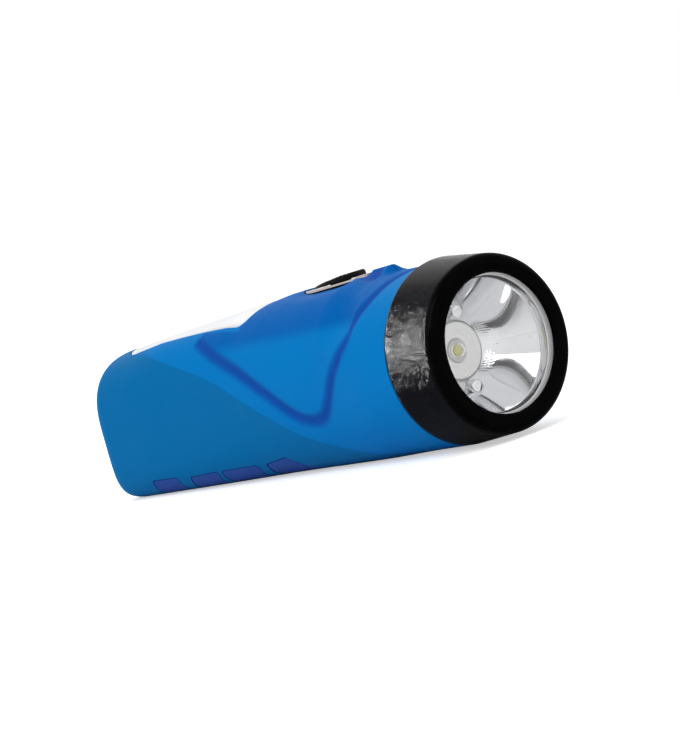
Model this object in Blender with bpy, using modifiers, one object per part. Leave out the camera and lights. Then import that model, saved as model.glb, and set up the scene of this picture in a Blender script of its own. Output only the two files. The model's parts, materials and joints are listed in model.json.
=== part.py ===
"""Rechargeable torch with a second lamp on top.

Metres, +Z up, +X along the beam. The origin is on the surface that the torch rests on,
below the middle of its length. The right side is the -Y side.
"""

import math

import bmesh
import bpy
from mathutils import Matrix, Vector

# Clearances
GAP = 0.0003
CUT_PAST = 0.004

# Body, two half shells that meet on the plane Y = 0
BODY_LENGTH = 0.1695
BODY_HALF_WIDTH = 0.0259
BODY_HEIGHT = 0.057
BODY_UNDERCUT = 0.0005
BODY_WALL = 0.0024
POD_EXTRA_WALL = 0.0016
TAIL_WALL = 0.004
TAIL_ROUND = 0.009
TAIL_SIDE_ROUND = 0.0072
TAIL_TOP_ROUND = 0.0112
TAIL_FOOT_ROUND = 0.0034
NECK_DROP = 0.0015
SPIGOT_WALL = 0.002
WIDTH_SHARES = ((0, 0.965), (0.3, 0.98), (0.6, 1), (1, 1))
TOP_SHARES = ((0, 0.843), (0.474, 0.942), (0.522, 0.944), (0.583, 0.963), (0.879, 1), (1, 1))
TOP_SQUARENESS_SHARES = ((0, 2.8), (0.25, 3.6), (0.5, 2.35), (0.6, 2.15), (0.9, 2), (1, 2))
FOOT_SQUARENESS_SHARES = ((0, 5.5), (0.5, 2.8), (0.8, 2.4), (1, 2))
POD_WALL_SHARES = ((0, 0), (0.4, 0), (0.56, 1), (0.9, 1), (0.93, 0), (1, 0))
STATION_SHARES = (
    0.11, 0.16, 0.222, 0.29, 0.36, 0.42, 0.474, 0.522, 0.55, 0.583, 0.63, 0.685, 0.745, 0.8, 0.845, 0.879,
    0.8845, 0.89, 0.8955, 0.901, 0.935, 0.965, 1,
)
NECK_BLEND_SHARES = (0.76, 0.93)
POD_STEP_SHARES = (0.879, 0.901)
RING_POINTS = 40
CAVITY_RING_POINTS = 32
TAIL_STEPS = 5

# Groove that outlines the switch pod on each side, as shares of body length and height
GROOVE_RADIUS = 0.0032
GROOVE_DEPTH = 0.0008
GROOVE_STEPS = 2
GROOVE_SHARES = (
    (0.4032, 0.8308), (0.4655, 0.7424), (0.5494, 0.6217), (0.6099, 0.511), (0.6643, 0.3993), (0.6982, 0.3377),
    (0.7284, 0.3109), (0.752, 0.3093), (0.7876, 0.3562), (0.8235, 0.4472), (0.8682, 0.5802), (0.8989, 0.7181),
    (0.9152, 0.8151), (0.917, 0.9017), (0.9034, 0.945),
)

# Grip pads along the lower edge, as shares of body length and height
GRIP_THICKNESS = 0.0012
GRIP_CORNER = 0.001
GRIP_INNER_Y = 0.008
GRIP_SHARES = (
    ((0.1405, 0.0225), (0.2285, 0.0225), (0.2375, 0.103), (0.1535, 0.1025)),
    ((0.2575, 0.0225), (0.3475, 0.0225), (0.3685, 0.101), (0.279, 0.0915)),
    ((0.364, 0.0225), (0.467, 0.0225), (0.489, 0.101), (0.38, 0.0995)),
    ((0.495, 0.0255), (0.577, 0.025), (0.642, 0.041), (0.5846, 0.122), (0.5149, 0.098)),
)

# Case screws and their bosses, along the body and, at the neck, above or below its axis
REAR_SCREW_SHARES = (0.096, 0.5165)
NECK_SCREW_SHARES = ((0.921, 0.589), (0.921, -0.654))
BOSS_CLEARANCE = 0.0015
CASE_BOSS_RADIUS = 0.004
CASE_SCREW_SEAT = 0.012
CASE_SCREW_HEAD_RADIUS = 0.0027
CASE_SCREW_HEAD_HEIGHT = 0.002
CASE_SCREW_LENGTH = 0.02
SCREW_RADIUS = 0.0012
SCREW_HEAD_TOP_SHARE = 0.7
SCREW_SLOT_WIDTH = 0.0007
SCREW_SLOT_DEPTH = 0.001
SCREW_STEPS = 12

# Bezel and what it clamps
BEZEL_LENGTH = 0.0195
BEZEL_RADIUS = 0.028
BEZEL_TAPER = 0.0018
BEZEL_WALL = 0.0037
BEZEL_ROUND = 0.0024
BEZEL_LIP = 0.0016
BEZEL_FACE = 0.0075
BEZEL_CHAMFER = 0.0005
BEZEL_STEPS = 48
BEZEL_ARC_STEPS = 5
WINDOW_THICKNESS = 0.0017
GASKET_THICKNESS = 0.0011
GASKET_SET_BACK = 0.0009
REFLECTOR_MOUTH_INSET = 0.0007
REFLECTOR_BASE = 0.009
REFLECTOR_DEPTH = 0.0157
REFLECTOR_WALL = 0.0014
REFLECTOR_COLLAR = 0.001
REFLECTOR_SKIRT = 0.0044
REFLECTOR_SKIRT_WALL = 0.002
REFLECTOR_BOSS_RADIUS = 0.0023
REFLECTOR_BOSS_REACH = 0.0115
REFLECTOR_BOSS_RISE = 0.0028
REFLECTOR_STEPS = 36
REFLECTOR_CURVE_STEPS = 6

# Main lamp
LAMP_STEPS = 24
LAMP_DOME_STEPS = 5
LAMP_BOARD_RADIUS = 0.011
LAMP_BOARD_THICKNESS = 0.0016
LAMP_BASE_RADIUS = 0.0034
LAMP_BASE_HEIGHT = 0.0008
LAMP_DOME_RADIUS = 0.0024
SPACER_THICKNESS = 0.0008
SPACER_RIM = 0.0007
SPACER_RIM_HEIGHT = 0.0006
HEAT_SINK_THICKNESS = 0.0025
SINK_SCREW_LENGTH = 0.0075
SINK_SCREW_HEAD_HEIGHT = 0.0016
LAMP_LEAD_Y = 0.006
SINK_HOLE_RADIUS = 0.0013

# Top lamp
TOP_LAMP_REAR = 0.0125
TOP_LAMP_LENGTH_SHARE = 0.469
TOP_LAMP_HALF_WIDTH = 0.0155
TOP_LAMP_BOW = 0.004
TOP_LAMP_REAR_CORNER = 0.011
TOP_LAMP_FRONT_CORNER = 0.003
TOP_LAMP_BOW_RADIUS = 0.036
TOP_LENS_WALL = 0.0016
TOP_LENS_FLANGE = 0.0014
TOP_LENS_DEPTH = 0.0144
TOP_LENS_FLANGE_THICKNESS = 0.0012
TRAY_DEPTH = 0.0045
TRAY_WALL = 0.0012
TOP_BOARD_MARGIN = 0.002
TOP_BOARD_THICKNESS = 0.0012
TOP_LED_COUNT = 6
TOP_LED_SIZE = 0.0035
TOP_LED_HEIGHT = 0.0014
TRAY_RIB_SHARES = (0.156, 0.294, 0.444)
TRAY_RIB_REACH = 0.012
RIB_THICKNESS = 0.002
RIB_HEIGHT = 0.0075
TOP_LEAD_Y = 0.007
TOP_LEAD_FROM_FRONT = 0.0075
TRAY_NOTCH_HALF_WIDTH = 0.0012

# Switch, set in the pod on the slope of its crown
SWITCH_FROM_NECK = 0.0468
SWITCH_SLOPE_SHARES = (0.583, 0.879)
PLATE_LENGTH = 0.032
PLATE_WIDTH = 0.015
PLATE_THICKNESS = 0.001
PLATE_SINK = 0.0009
PLATE_CLEARANCE = 0.0005
SLIDER_LENGTH = 0.0242
SLIDER_WIDTH = 0.0092
SLIDER_REAR_HEIGHT = 0.0009
SLIDER_FRONT_HEIGHT = 0.0026
SLIDER_RIDGES = 4
SLIDER_RIDGE_PITCH = 0.0021
SLIDER_RIDGE_RADIUS = 0.0009
SLIDER_RIDGE_DEPTH = 0.0005
SLIDER_TRAVEL = 0.003
STEM_LENGTH = 0.006
STEM_WIDTH = 0.004
STEM_CLEARANCE = 0.0005
TOGGLE_LENGTH = 0.0024
TOGGLE_WIDTH = 0.0022
TOGGLE_REACH = 0.0022
TOGGLE_FOOT_LENGTH = 0.004
TOGGLE_FOOT_HEIGHT = 0.0014
CASE_LENGTH = 0.023
CASE_WIDTH = 0.01
CASE_HEIGHT = 0.008
CASE_SLOT_DEPTH = 0.0032
CASE_SLOT_CLEARANCE = 0.00045
STEM_ABOVE_CASE = 0.0015

# Main board and what is on it
BOARD_TO_TRAY = 0.0046
BOARD_HALF_WIDTH = 0.0175
BOARD_THICKNESS = 0.0016
BOARD_FROM_TOP = 0.019
BOARD_TO_NECK = 0.0185
BOARD_RIB_SHARES = (0.6, 0.721, 0.865)
BOARD_RIB_REACH = 0.0148
BOARD_RIB_HEIGHT = 0.0077
CAPACITOR_RADIUS = 0.004
CAPACITOR_HEIGHT = 0.007
INDUCTOR_RADIUS = 0.0045
INDUCTOR_HEIGHT = 0.005
CHIP_LENGTH = 0.005
CHIP_WIDTH = 0.004
CHIP_HEIGHT = 0.0015
PART_EDGE = 0.0005
PART_ON_BOARD_SHARES = {
    "filter_capacitor": (0.143, -0.42), "charge_chip": (0.143, 0.46), "driver_inductor": (0.87, 0.46),
    "driver_chip": (0.87, -0.46),
}

# Cell and its cradle
CELL_RADIUS = 0.0092
CELL_LENGTH = 0.0644
CELL_STEPS = 24
CELL_NUB_RADIUS = 0.0028
CELL_NUB_HEIGHT = 0.0008
CELL_Z = 0.0155
CELL_SHARE = 0.396
CRADLE_HALF_WIDTH = 0.0113
CRADLE_Z = 0.0046
CRADLE_WALL_TOP = 0.0155
CRADLE_END_TOP = 0.022
CRADLE_END_WALL = 0.0021
CRADLE_FOOT_HALF_WIDTH = 0.006
CONTACT_THICKNESS = 0.0005
CONTACT_WIDTH = 0.008
CONTACT_BOTTOM = 0.009
CONTACT_TOP = 0.0255

# Charge socket, its flap and the charge light, all in the tail
SOCKET_Z = 0.0185
SOCKET_WIDTH = 0.009
SOCKET_HEIGHT = 0.011
SOCKET_LENGTH = 0.0125
SOCKET_NOSE_RADIUS = 0.0033
SOCKET_BORE = 0.00275
SOCKET_BORE_DEPTH = 0.009
SOCKET_PIN_RADIUS = 0.00065
SOCKET_PIN_SHARE = 0.85
FLAP_WIDTH = 0.015
FLAP_HEIGHT = 0.017
FLAP_THICKNESS = 0.0016
FLAP_CORNER = 0.003
FLAP_NUB_RADIUS = 0.0022
FLAP_NUB_LENGTH = 0.002
FLAP_ANCHOR_HEIGHT = 0.004
FLAP_ANCHOR_STUD_RADIUS = 0.0012
FLAP_CLEARANCE = 0.0004
LIGHT_Z = 0.0343
LIGHT_RADIUS = 0.0015
LIGHT_LENGTH = 0.007
LIGHT_FLANGE = 0.0008
LIGHT_DOME_SHARES = ((1, 0.5), (0.7, 0.125), (0, 0))

# Leads
LEAD_RADIUS = 0.0006
LEAD_BEND = 0.004
CHARGE_LEAD_Y = 0.0137

# Cut-out corners and finishes
FINE_CORNER = 0.0004
SMOOTH_ANGLE = math.radians(32)

# Places along the torch that follow from the sizes above
TAIL_X = -(BODY_LENGTH + BEZEL_LENGTH) / 2
NECK_X = TAIL_X + BODY_LENGTH
FRONT_X = NECK_X + BEZEL_LENGTH
AXIS_Z = BEZEL_RADIUS
NECK_RADIUS = BEZEL_RADIUS
BEZEL_FRONT_RADIUS = BEZEL_RADIUS - BEZEL_TAPER
BEZEL_BORE = BEZEL_RADIUS - BEZEL_WALL
BEZEL_OPENING = BEZEL_RADIUS - BEZEL_FACE
WINDOW_RADIUS = BEZEL_BORE - GAP
GASKET_OPENING = BEZEL_OPENING + GASKET_SET_BACK
REFLECTOR_MOUTH = BEZEL_OPENING - REFLECTOR_MOUTH_INSET
LIP_X = FRONT_X - BEZEL_LIP
WINDOW_X = LIP_X - GAP - WINDOW_THICKNESS
GASKET_X = WINDOW_X - GAP - GASKET_THICKNESS
REFLECTOR_X = GASKET_X - GAP - REFLECTOR_DEPTH
LAMP_BOARD_X = REFLECTOR_X - REFLECTOR_COLLAR - GAP - LAMP_BOARD_THICKNESS
HEAT_SINK_X = LAMP_BOARD_X - GAP - HEAT_SINK_THICKNESS
HEAT_SINK_RADIUS = NECK_RADIUS - BODY_WALL - NECK_DROP - GAP
SHOULDER_X = HEAT_SINK_X + HEAT_SINK_THICKNESS + GAP
SPIGOT_RADIUS = BEZEL_BORE - GAP
SPIGOT_END = REFLECTOR_X + REFLECTOR_DEPTH - REFLECTOR_SKIRT - GAP
TOP_LAMP_X = TAIL_X + TOP_LAMP_REAR
TOP_LAMP_LENGTH = BODY_LENGTH * TOP_LAMP_LENGTH_SHARE
TOP_LAMP_FRONT = TOP_LAMP_X + TOP_LAMP_LENGTH
TOP_LENS_FLANGE_Z = BODY_HEIGHT - TOP_LENS_DEPTH
TRAY_Z = TOP_LENS_FLANGE_Z - GAP - TRAY_DEPTH
SWITCH_X = NECK_X - SWITCH_FROM_NECK
BOARD_FRONT = NECK_X - BOARD_TO_NECK
BOARD_REAR = TOP_LAMP_FRONT + TOP_LENS_FLANGE + BOARD_TO_TRAY
BOARD_LENGTH = BOARD_FRONT - BOARD_REAR
BOARD_Z = BODY_HEIGHT - BOARD_FROM_TOP
BOARD_TOP = BOARD_Z + BOARD_THICKNESS
CASE_TOP = BOARD_TOP + GAP + CASE_HEIGHT
CELL_X = TAIL_X + BODY_LENGTH * CELL_SHARE
CELL_REAR = CELL_X - CELL_LENGTH / 2
CELL_FRONT = CELL_X + CELL_LENGTH / 2 + CELL_NUB_HEIGHT
FLAP_TOP_Z = SOCKET_Z + FLAP_HEIGHT / 2
FLAP_FLOOR_X = TAIL_X + FLAP_THICKNESS + GAP
CASE_SCREW_PLACES = [
    (TAIL_X + BODY_LENGTH * along, TRAY_Z - BOSS_CLEARANCE - CASE_BOSS_RADIUS) for along in REAR_SCREW_SHARES
] + [(TAIL_X + BODY_LENGTH * along, AXIS_Z + NECK_RADIUS * up) for along, up in NECK_SCREW_SHARES]


# Scene

def clear_scene():
    for obj in list(bpy.data.objects):
        bpy.data.objects.remove(obj, do_unlink=True)


def collection(name, hidden=False):
    made = bpy.data.collections.new(name)
    bpy.context.scene.collection.children.link(made)
    made.hide_render = hidden
    return made


def material(name, colour, roughness, metallic=0.0, transmission=0.0):
    made = bpy.data.materials.new(name)
    made.use_nodes = True
    shader = made.node_tree.nodes["Principled BSDF"]
    shader.inputs["Base Color"].default_value = (*colour, 1)
    shader.inputs["Roughness"].default_value = roughness
    shader.inputs["Metallic"].default_value = metallic
    shader.inputs["Transmission Weight"].default_value = transmission
    made.diffuse_color = (*colour, 1)
    return made


clear_scene()
TORCH = collection("rechargeable_torch")
CUTTERS = collection("cutters", hidden=True)
BLUE = material("blue_abs", (0.0, 0.19, 0.52), 0.35)
INDIGO = material("indigo_rubber", (0.02, 0.045, 0.24), 0.6)
BLACK = material("black_gloss_abs", (0.006, 0.006, 0.006), 0.22)
CLEAR = material("clear_window", (1, 1, 1), 0.02, transmission=1.0)
SEAL = material("grey_seal", (0.35, 0.36, 0.37), 0.6)
CHROME = material("vapour_chrome", (0.88, 0.89, 0.9), 0.06, 1.0)
PHOSPHOR = material("lamp_phosphor", (0.86, 0.8, 0.35), 0.3)
WHITE = material("white_plastic", (0.82, 0.82, 0.8), 0.4)
BOARD_WHITE = material("white_board", (0.8, 0.81, 0.8), 0.35)
ALLOY = material("aluminium", (0.7, 0.71, 0.72), 0.35, 1.0)
FROST = material("frosted_lens", (0.86, 0.88, 0.9), 0.4, transmission=0.3)
SILVER = material("silver_plate", (0.62, 0.6, 0.57), 0.3, 0.7)
BOARD_GREEN = material("green_board", (0.01, 0.16, 0.06), 0.4)
CHIP = material("chip_black", (0.015, 0.015, 0.016), 0.5)
CAN = material("capacitor_sleeve", (0.02, 0.03, 0.09), 0.35)
STEEL = material("bright_steel", (0.62, 0.62, 0.62), 0.25, 1.0)
CELL_WRAP = material("cell_wrap", (0.05, 0.22, 0.1), 0.4)
CRADLE_GREY = material("cradle_grey", (0.2, 0.2, 0.21), 0.55)
RUBBER = material("black_rubber", (0.015, 0.015, 0.016), 0.7)
RED_LENS = material("red_light", (0.6, 0.02, 0.02), 0.15, transmission=0.5)
RED_WIRE = material("red_wire", (0.55, 0.02, 0.02), 0.45)
BLACK_WIRE = material("black_wire", (0.02, 0.02, 0.02), 0.45)


# Making and cutting solids

def add(name, mesh, finish=None, place=(0, 0, 0), turn=(0, 0, 0)):
    """An object of the torch, or a cutter where it has no finish."""
    obj = bpy.data.objects.new(name, mesh)
    obj.location = place
    obj.rotation_euler = turn
    if finish is None:
        CUTTERS.objects.link(obj)
        obj.hide_render = True
        obj.display_type = "WIRE"
    else:
        TORCH.objects.link(obj)
        mesh.materials.clear()
        mesh.materials.append(finish)
        mesh.shade_smooth()
        mesh.set_sharp_from_angle(angle=SMOOTH_ANGLE)
    return obj


def mesh_from(name, build):
    made = bmesh.new()
    build(made)
    bmesh.ops.recalc_face_normals(made, faces=made.faces)
    mesh = bpy.data.meshes.new(name)
    made.to_mesh(mesh)
    made.free()
    return mesh


def box(name, low, high, finish=None, corner=0.0):
    """A box between two corners, its edges rounded by corner."""
    size = [high[i] - low[i] for i in range(3)]
    middle = [(high[i] + low[i]) / 2 for i in range(3)]

    def build(made):
        bmesh.ops.create_cube(made, size=1)
        bmesh.ops.scale(made, vec=size, verts=made.verts)

    obj = add(name, mesh_from(name, build), finish, middle)
    if corner:
        bevel(obj, corner)
    return obj


def bevel(obj, width, segments=1):
    made = obj.modifiers.new("rounded edges", "BEVEL")
    made.width = width
    made.segments = segments
    made.limit_method = "ANGLE"


AXIS_TURNS = {
    "X": (0, math.pi / 2, 0), "Y": (-math.pi / 2, 0, 0), "-Y": (math.pi / 2, 0, 0), "Z": (0, 0, 0),
}


def rod(name, radius, start, length, axis="X", finish=None, steps=16):
    """A cylinder that runs from start by length along an axis."""

    def build(made):
        bmesh.ops.create_cone(
            made, cap_ends=True, segments=steps, radius1=radius, radius2=radius, depth=length,
            matrix=Matrix.Translation((0, 0, length / 2)),
        )

    return add(name, mesh_from(name, build), finish, start, AXIS_TURNS[axis])


def turned(name, outline, place, finish=None, steps=16, axis="X", closed=False):
    """A turned solid. The outline runs down the outer side, as (radius, height) points."""
    mesh = bpy.data.meshes.new(name)
    edges = [(i, i + 1) for i in range(len(outline) - 1)]
    if closed:
        edges.append((len(outline) - 1, 0))
    mesh.from_pydata([(radius, 0, height) for radius, height in outline], edges, [])
    obj = add(name, mesh, finish, place, AXIS_TURNS[axis])
    screw = obj.modifiers.new("turned", "SCREW")
    screw.steps = steps
    screw.render_steps = steps
    screw.use_merge_vertices = True
    screw.merge_threshold = GAP / steps
    screw.use_smooth_shade = True
    return obj


def prism(name, outline, low, high, along="Z", finish=None):
    """An outline carried from low to high. It is drawn in XY along Z, and in XZ along Y."""

    def build(made):
        corners = [
            made.verts.new((a, b, low) if along == "Z" else (a, low, b)) for a, b in outline
        ]
        face = made.faces.new(corners)
        moved = bmesh.ops.extrude_face_region(made, geom=[face])["geom"]
        raised = [item for item in moved if isinstance(item, bmesh.types.BMVert)]
        lift = (0, 0, high - low) if along == "Z" else (0, high - low, 0)
        bmesh.ops.translate(made, vec=lift, verts=raised)

    return add(name, mesh_from(name, build), finish)


def combine(obj, other, operation="DIFFERENCE"):
    made = obj.modifiers.new(f"{operation.lower()} {other.name}", "BOOLEAN")
    made.operation = operation
    made.object = other
    return obj


def tube_along(name, points, radius, finish, resolution=2):
    """A round wire through points, with filled ends."""
    curve = bpy.data.curves.new(name, "CURVE")
    curve.dimensions = "3D"
    curve.bevel_depth = radius
    curve.bevel_resolution = resolution
    curve.use_fill_caps = True
    line = curve.splines.new("POLY")
    line.points.add(len(points) - 1)
    for point, place in zip(line.points, points):
        point.co = (*place, 1)
    obj = bpy.data.objects.new(name, curve)
    if finish is None:
        CUTTERS.objects.link(obj)
    else:
        TORCH.objects.link(obj)
        curve.materials.append(finish)
    return obj


def curve_to_mesh(curve_object, finish=None):
    """The curve's tube as a mesh object with welded caps, in place of the curve."""
    name = curve_object.name
    graph = bpy.context.evaluated_depsgraph_get()
    mesh = bpy.data.meshes.new_from_object(curve_object.evaluated_get(graph))
    made = bmesh.new()
    made.from_mesh(mesh)
    bmesh.ops.remove_doubles(made, verts=made.verts, dist=GAP / RING_POINTS)
    bmesh.ops.recalc_face_normals(made, faces=made.faces)
    made.to_mesh(mesh)
    made.free()
    matrix = curve_object.matrix_world.copy()
    bpy.data.objects.remove(curve_object, do_unlink=True)
    obj = add(name, mesh, finish)
    obj.matrix_world = matrix
    return obj


# Outlines

def smooth_through(points, steps):
    """Points on a smooth curve through the given ones."""
    padded = [points[0], *points, points[-1]]
    made = []
    for i in range(len(points) - 1):
        before, start, end, after = (Vector(point) for point in padded[i:i + 4])
        for step in range(steps):
            t = step / steps
            made.append(
                start
                + (end - before) * (t / 2)
                + (before * 2 - start * 5 + end * 4 - after) * (t * t / 2)
                + (start * 3 - before - end * 3 + after) * (t ** 3 / 2)
            )
    made.append(Vector(points[-1]))
    return made


def rounded(corners, radii, steps=5):
    """A polygon that runs anticlockwise, with each corner rounded by its radius."""
    made = []
    count = len(corners)
    for i, corner in enumerate(corners):
        here = Vector(corner)
        to_last = (Vector(corners[i - 1]) - here).normalized()
        to_next = (Vector(corners[(i + 1) % count]) - here).normalized()
        half = to_last.angle(to_next) / 2
        back = radii[i] / math.tan(half)
        centre = here + (to_last + to_next).normalized() * (radii[i] / math.sin(half))
        first = here + to_last * back - centre
        sweep = math.pi - 2 * half
        for step in range(steps + 1):
            spin = Matrix.Rotation(sweep * step / steps, 2)
            made.append(tuple(centre + spin @ first))
    return made


def grown(corners, distance):
    """A polygon that runs anticlockwise, with its sides moved out by distance."""
    made = []
    count = len(corners)
    for i, corner in enumerate(corners):
        here = Vector(corner)
        to_last = (Vector(corners[i - 1]) - here).normalized()
        to_next = (Vector(corners[(i + 1) % count]) - here).normalized()
        half = to_last.angle(to_next) / 2
        made.append(tuple(here - (to_last + to_next).normalized() * (distance / math.sin(half))))
    return made


def oval(length, width, steps=32):
    angles = [2 * math.pi * step / steps for step in range(steps)]
    return [(math.cos(a) * length / 2, math.sin(a) * width / 2) for a in angles]


# The body's outer form

def value_at(table, share):
    for (first, low), (last, high) in zip(table, table[1:]):
        if share <= last:
            return low + (high - low) * (share - first) / (last - first)
    return table[-1][1]


def eased(share, start, end):
    t = min(max((share - start) / (end - start), 0), 1)
    return t * t * (3 - 2 * t)


def body_section(x, inset=0.0, tail_inset=0.0):
    """(half width, middle height, top, foot, squareness above, squareness below) at x."""
    share = (x - TAIL_X) / BODY_LENGTH
    neck = eased(share, *NECK_BLEND_SHARES)
    step = eased(share, *POD_STEP_SHARES)
    half_width = BODY_HALF_WIDTH * value_at(WIDTH_SHARES, share)
    half_width += (NECK_RADIUS - half_width) * neck
    foot = -BODY_UNDERCUT + (AXIS_Z - NECK_RADIUS + BODY_UNDERCUT) * neck
    top = BODY_HEIGHT * value_at(TOP_SHARES, share)
    top += (AXIS_Z + NECK_RADIUS - NECK_DROP - top) * step
    middle = (top + foot) / 2 + (AXIS_Z - (top + foot) / 2) * step
    if inset:
        top -= inset + POD_EXTRA_WALL * value_at(POD_WALL_SHARES, share) * (inset / BODY_WALL)
    half_width -= inset
    foot += inset
    depth = x - TAIL_X - tail_inset
    if depth < TAIL_ROUND:
        drawn_in = 1 - math.sqrt(max(1 - (1 - depth / TAIL_ROUND) ** 2, 0))
        half_width -= TAIL_SIDE_ROUND * drawn_in
        top -= TAIL_TOP_ROUND * drawn_in
        foot += TAIL_FOOT_ROUND * drawn_in
    above = value_at(TOP_SQUARENESS_SHARES, share)
    below = value_at(FOOT_SQUARENESS_SHARES, share)
    return half_width, middle, top, foot, above, below


def ring_at(x, inset, tail_inset, points):
    """The body's section at x, flat where it rests."""
    half_width, middle, top, foot, above, below = body_section(x, inset, tail_inset)
    ring = []
    for point in range(points):
        angle = 2 * math.pi * point / points
        across, up = math.cos(angle), math.sin(angle)
        power = above if up >= 0 else below
        height = top - middle if up >= 0 else middle - foot
        reach = ((abs(across) / half_width) ** power + (abs(up) / height) ** power) ** (-1 / power)
        ring.append((x, reach * across, max(middle + reach * up, inset)))
    return ring


def body_stations(tail_inset, last_x):
    start = TAIL_X + tail_inset
    rounding = [
        start + TAIL_ROUND * (1 - math.cos(math.pi / 2 * step / TAIL_STEPS)) for step in range(TAIL_STEPS + 1)
    ]
    along = [TAIL_X + BODY_LENGTH * share for share in STATION_SHARES]
    past = [x for x in along if rounding[-1] < x < last_x]
    return rounding + past + [last_x]


def body_form(name, inset=0.0, tail_inset=0.0, last_x=NECK_X, finish=None, points=RING_POINTS):
    """The body's outer form as a solid, or drawn in by inset."""

    def build(made):
        rings = [
            [made.verts.new(point) for point in ring_at(x, inset, tail_inset, points)]
            for x in body_stations(tail_inset, last_x)
        ]
        for ring, following in zip(rings, rings[1:]):
            for i in range(points):
                j = (i + 1) % points
                made.faces.new((ring[i], ring[j], following[j], following[i]))
        bmesh.ops.triangulate(made, faces=made.faces)
        made.faces.new(rings[0])
        made.faces.new(rings[-1])

    return add(name, mesh_from(name, build), finish)


def side_point(x, z, side, outward=0.0):
    """The point of the body's surface at x and z, on the side -1 or 1, moved outward."""
    half_width, middle, top, foot, above, below = body_section(x)
    power = above if z >= middle else below
    height = top - middle if z >= middle else middle - foot
    share = min(abs(z - middle) / height, 1)
    across = half_width * (1 - share ** power) ** (1 / power)
    slope_y = (across / half_width) ** (power - 1) / half_width
    slope_z = math.copysign(share ** (power - 1) / height, z - middle)
    normal = Vector((0, slope_y, slope_z)).normalized()
    point = Vector((x, across, z)) + normal * outward
    return Vector((point.x, side * point.y, point.z))


def crown_height(x):
    return body_section(x)[2]


# Cutters that both shells share

def cavity():
    """The hollow inside both shells, with their ribs and screw bosses left standing."""
    hollow = body_form("cavity", BODY_WALL, TAIL_WALL, SHOULDER_X, points=CAVITY_RING_POINTS)
    bore = rod(
        "spigot_bore", SPIGOT_RADIUS - SPIGOT_WALL, (SHOULDER_X - CUT_PAST, 0, AXIS_Z),
        SPIGOT_END - SHOULDER_X + CUT_PAST * 2, steps=CAVITY_RING_POINTS,
    )
    combine(hollow, bore, "UNION")
    for number, (x, z) in enumerate(CASE_SCREW_PLACES, 1):
        boss = rod(
            f"case_boss_{number}", CASE_BOSS_RADIUS, (x, -BODY_HALF_WIDTH * 2, z), BODY_HALF_WIDTH * 4, "Y", steps=12
        )
        combine(hollow, boss)
    tops = [(share, TRAY_Z - GAP, RIB_HEIGHT, TRAY_RIB_REACH) for share in TRAY_RIB_SHARES]
    tops += [(share, BOARD_Z - GAP, BOARD_RIB_HEIGHT, BOARD_RIB_REACH) for share in BOARD_RIB_SHARES]
    for number, (share, top, height, reach) in enumerate(tops, 1):
        x = TAIL_X + BODY_LENGTH * share
        for side in (-1, 1):
            ends = sorted((side * reach, side * BODY_HALF_WIDTH * 2))
            rib = box(
                f"rib_{number}_{'right' if side < 0 else 'left'}",
                (x - RIB_THICKNESS / 2, ends[0], top - height), (x + RIB_THICKNESS / 2, ends[1], top),
            )
            combine(hollow, rib)
    return hollow


def lens_corners():
    corner_x = TOP_LAMP_FRONT - TOP_LAMP_BOW
    return [
        (TOP_LAMP_X, -TOP_LAMP_HALF_WIDTH), (corner_x, -TOP_LAMP_HALF_WIDTH), (TOP_LAMP_FRONT, 0),
        (corner_x, TOP_LAMP_HALF_WIDTH), (TOP_LAMP_X, TOP_LAMP_HALF_WIDTH),
    ]


def lens_plan(out=0.0):
    """The top lamp's plan, moved out by a distance."""
    rear, front, bow = TOP_LAMP_REAR_CORNER + out, TOP_LAMP_FRONT_CORNER + out, TOP_LAMP_BOW_RADIUS + out
    return rounded(grown(lens_corners(), out), (rear, front, bow, front, rear))


def switch_frame():
    """The middle of the switch on the pod's crown, and its tilt about Y."""
    ends = [TAIL_X + BODY_LENGTH * share for share in SWITCH_SLOPE_SHARES]
    rise = crown_height(ends[1]) - crown_height(ends[0])
    tilt = -math.atan2(rise, ends[1] - ends[0])
    return Matrix.Translation((SWITCH_X, 0, crown_height(SWITCH_X))) @ Matrix.Rotation(tilt, 4, "Y")


def on_switch(obj):
    obj.matrix_basis = switch_frame() @ obj.matrix_basis
    return obj


def slot_outline(length, width):
    half = length / 2, width / 2
    corners = [(-half[0], -half[1]), (half[0], -half[1]), (half[0], half[1]), (-half[0], half[1])]
    return rounded(corners, [width / 4] * 4, 3)


def stem_room():
    return STEM_LENGTH + (SLIDER_TRAVEL + STEM_CLEARANCE) * 2, STEM_WIDTH + STEM_CLEARANCE * 2


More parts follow.
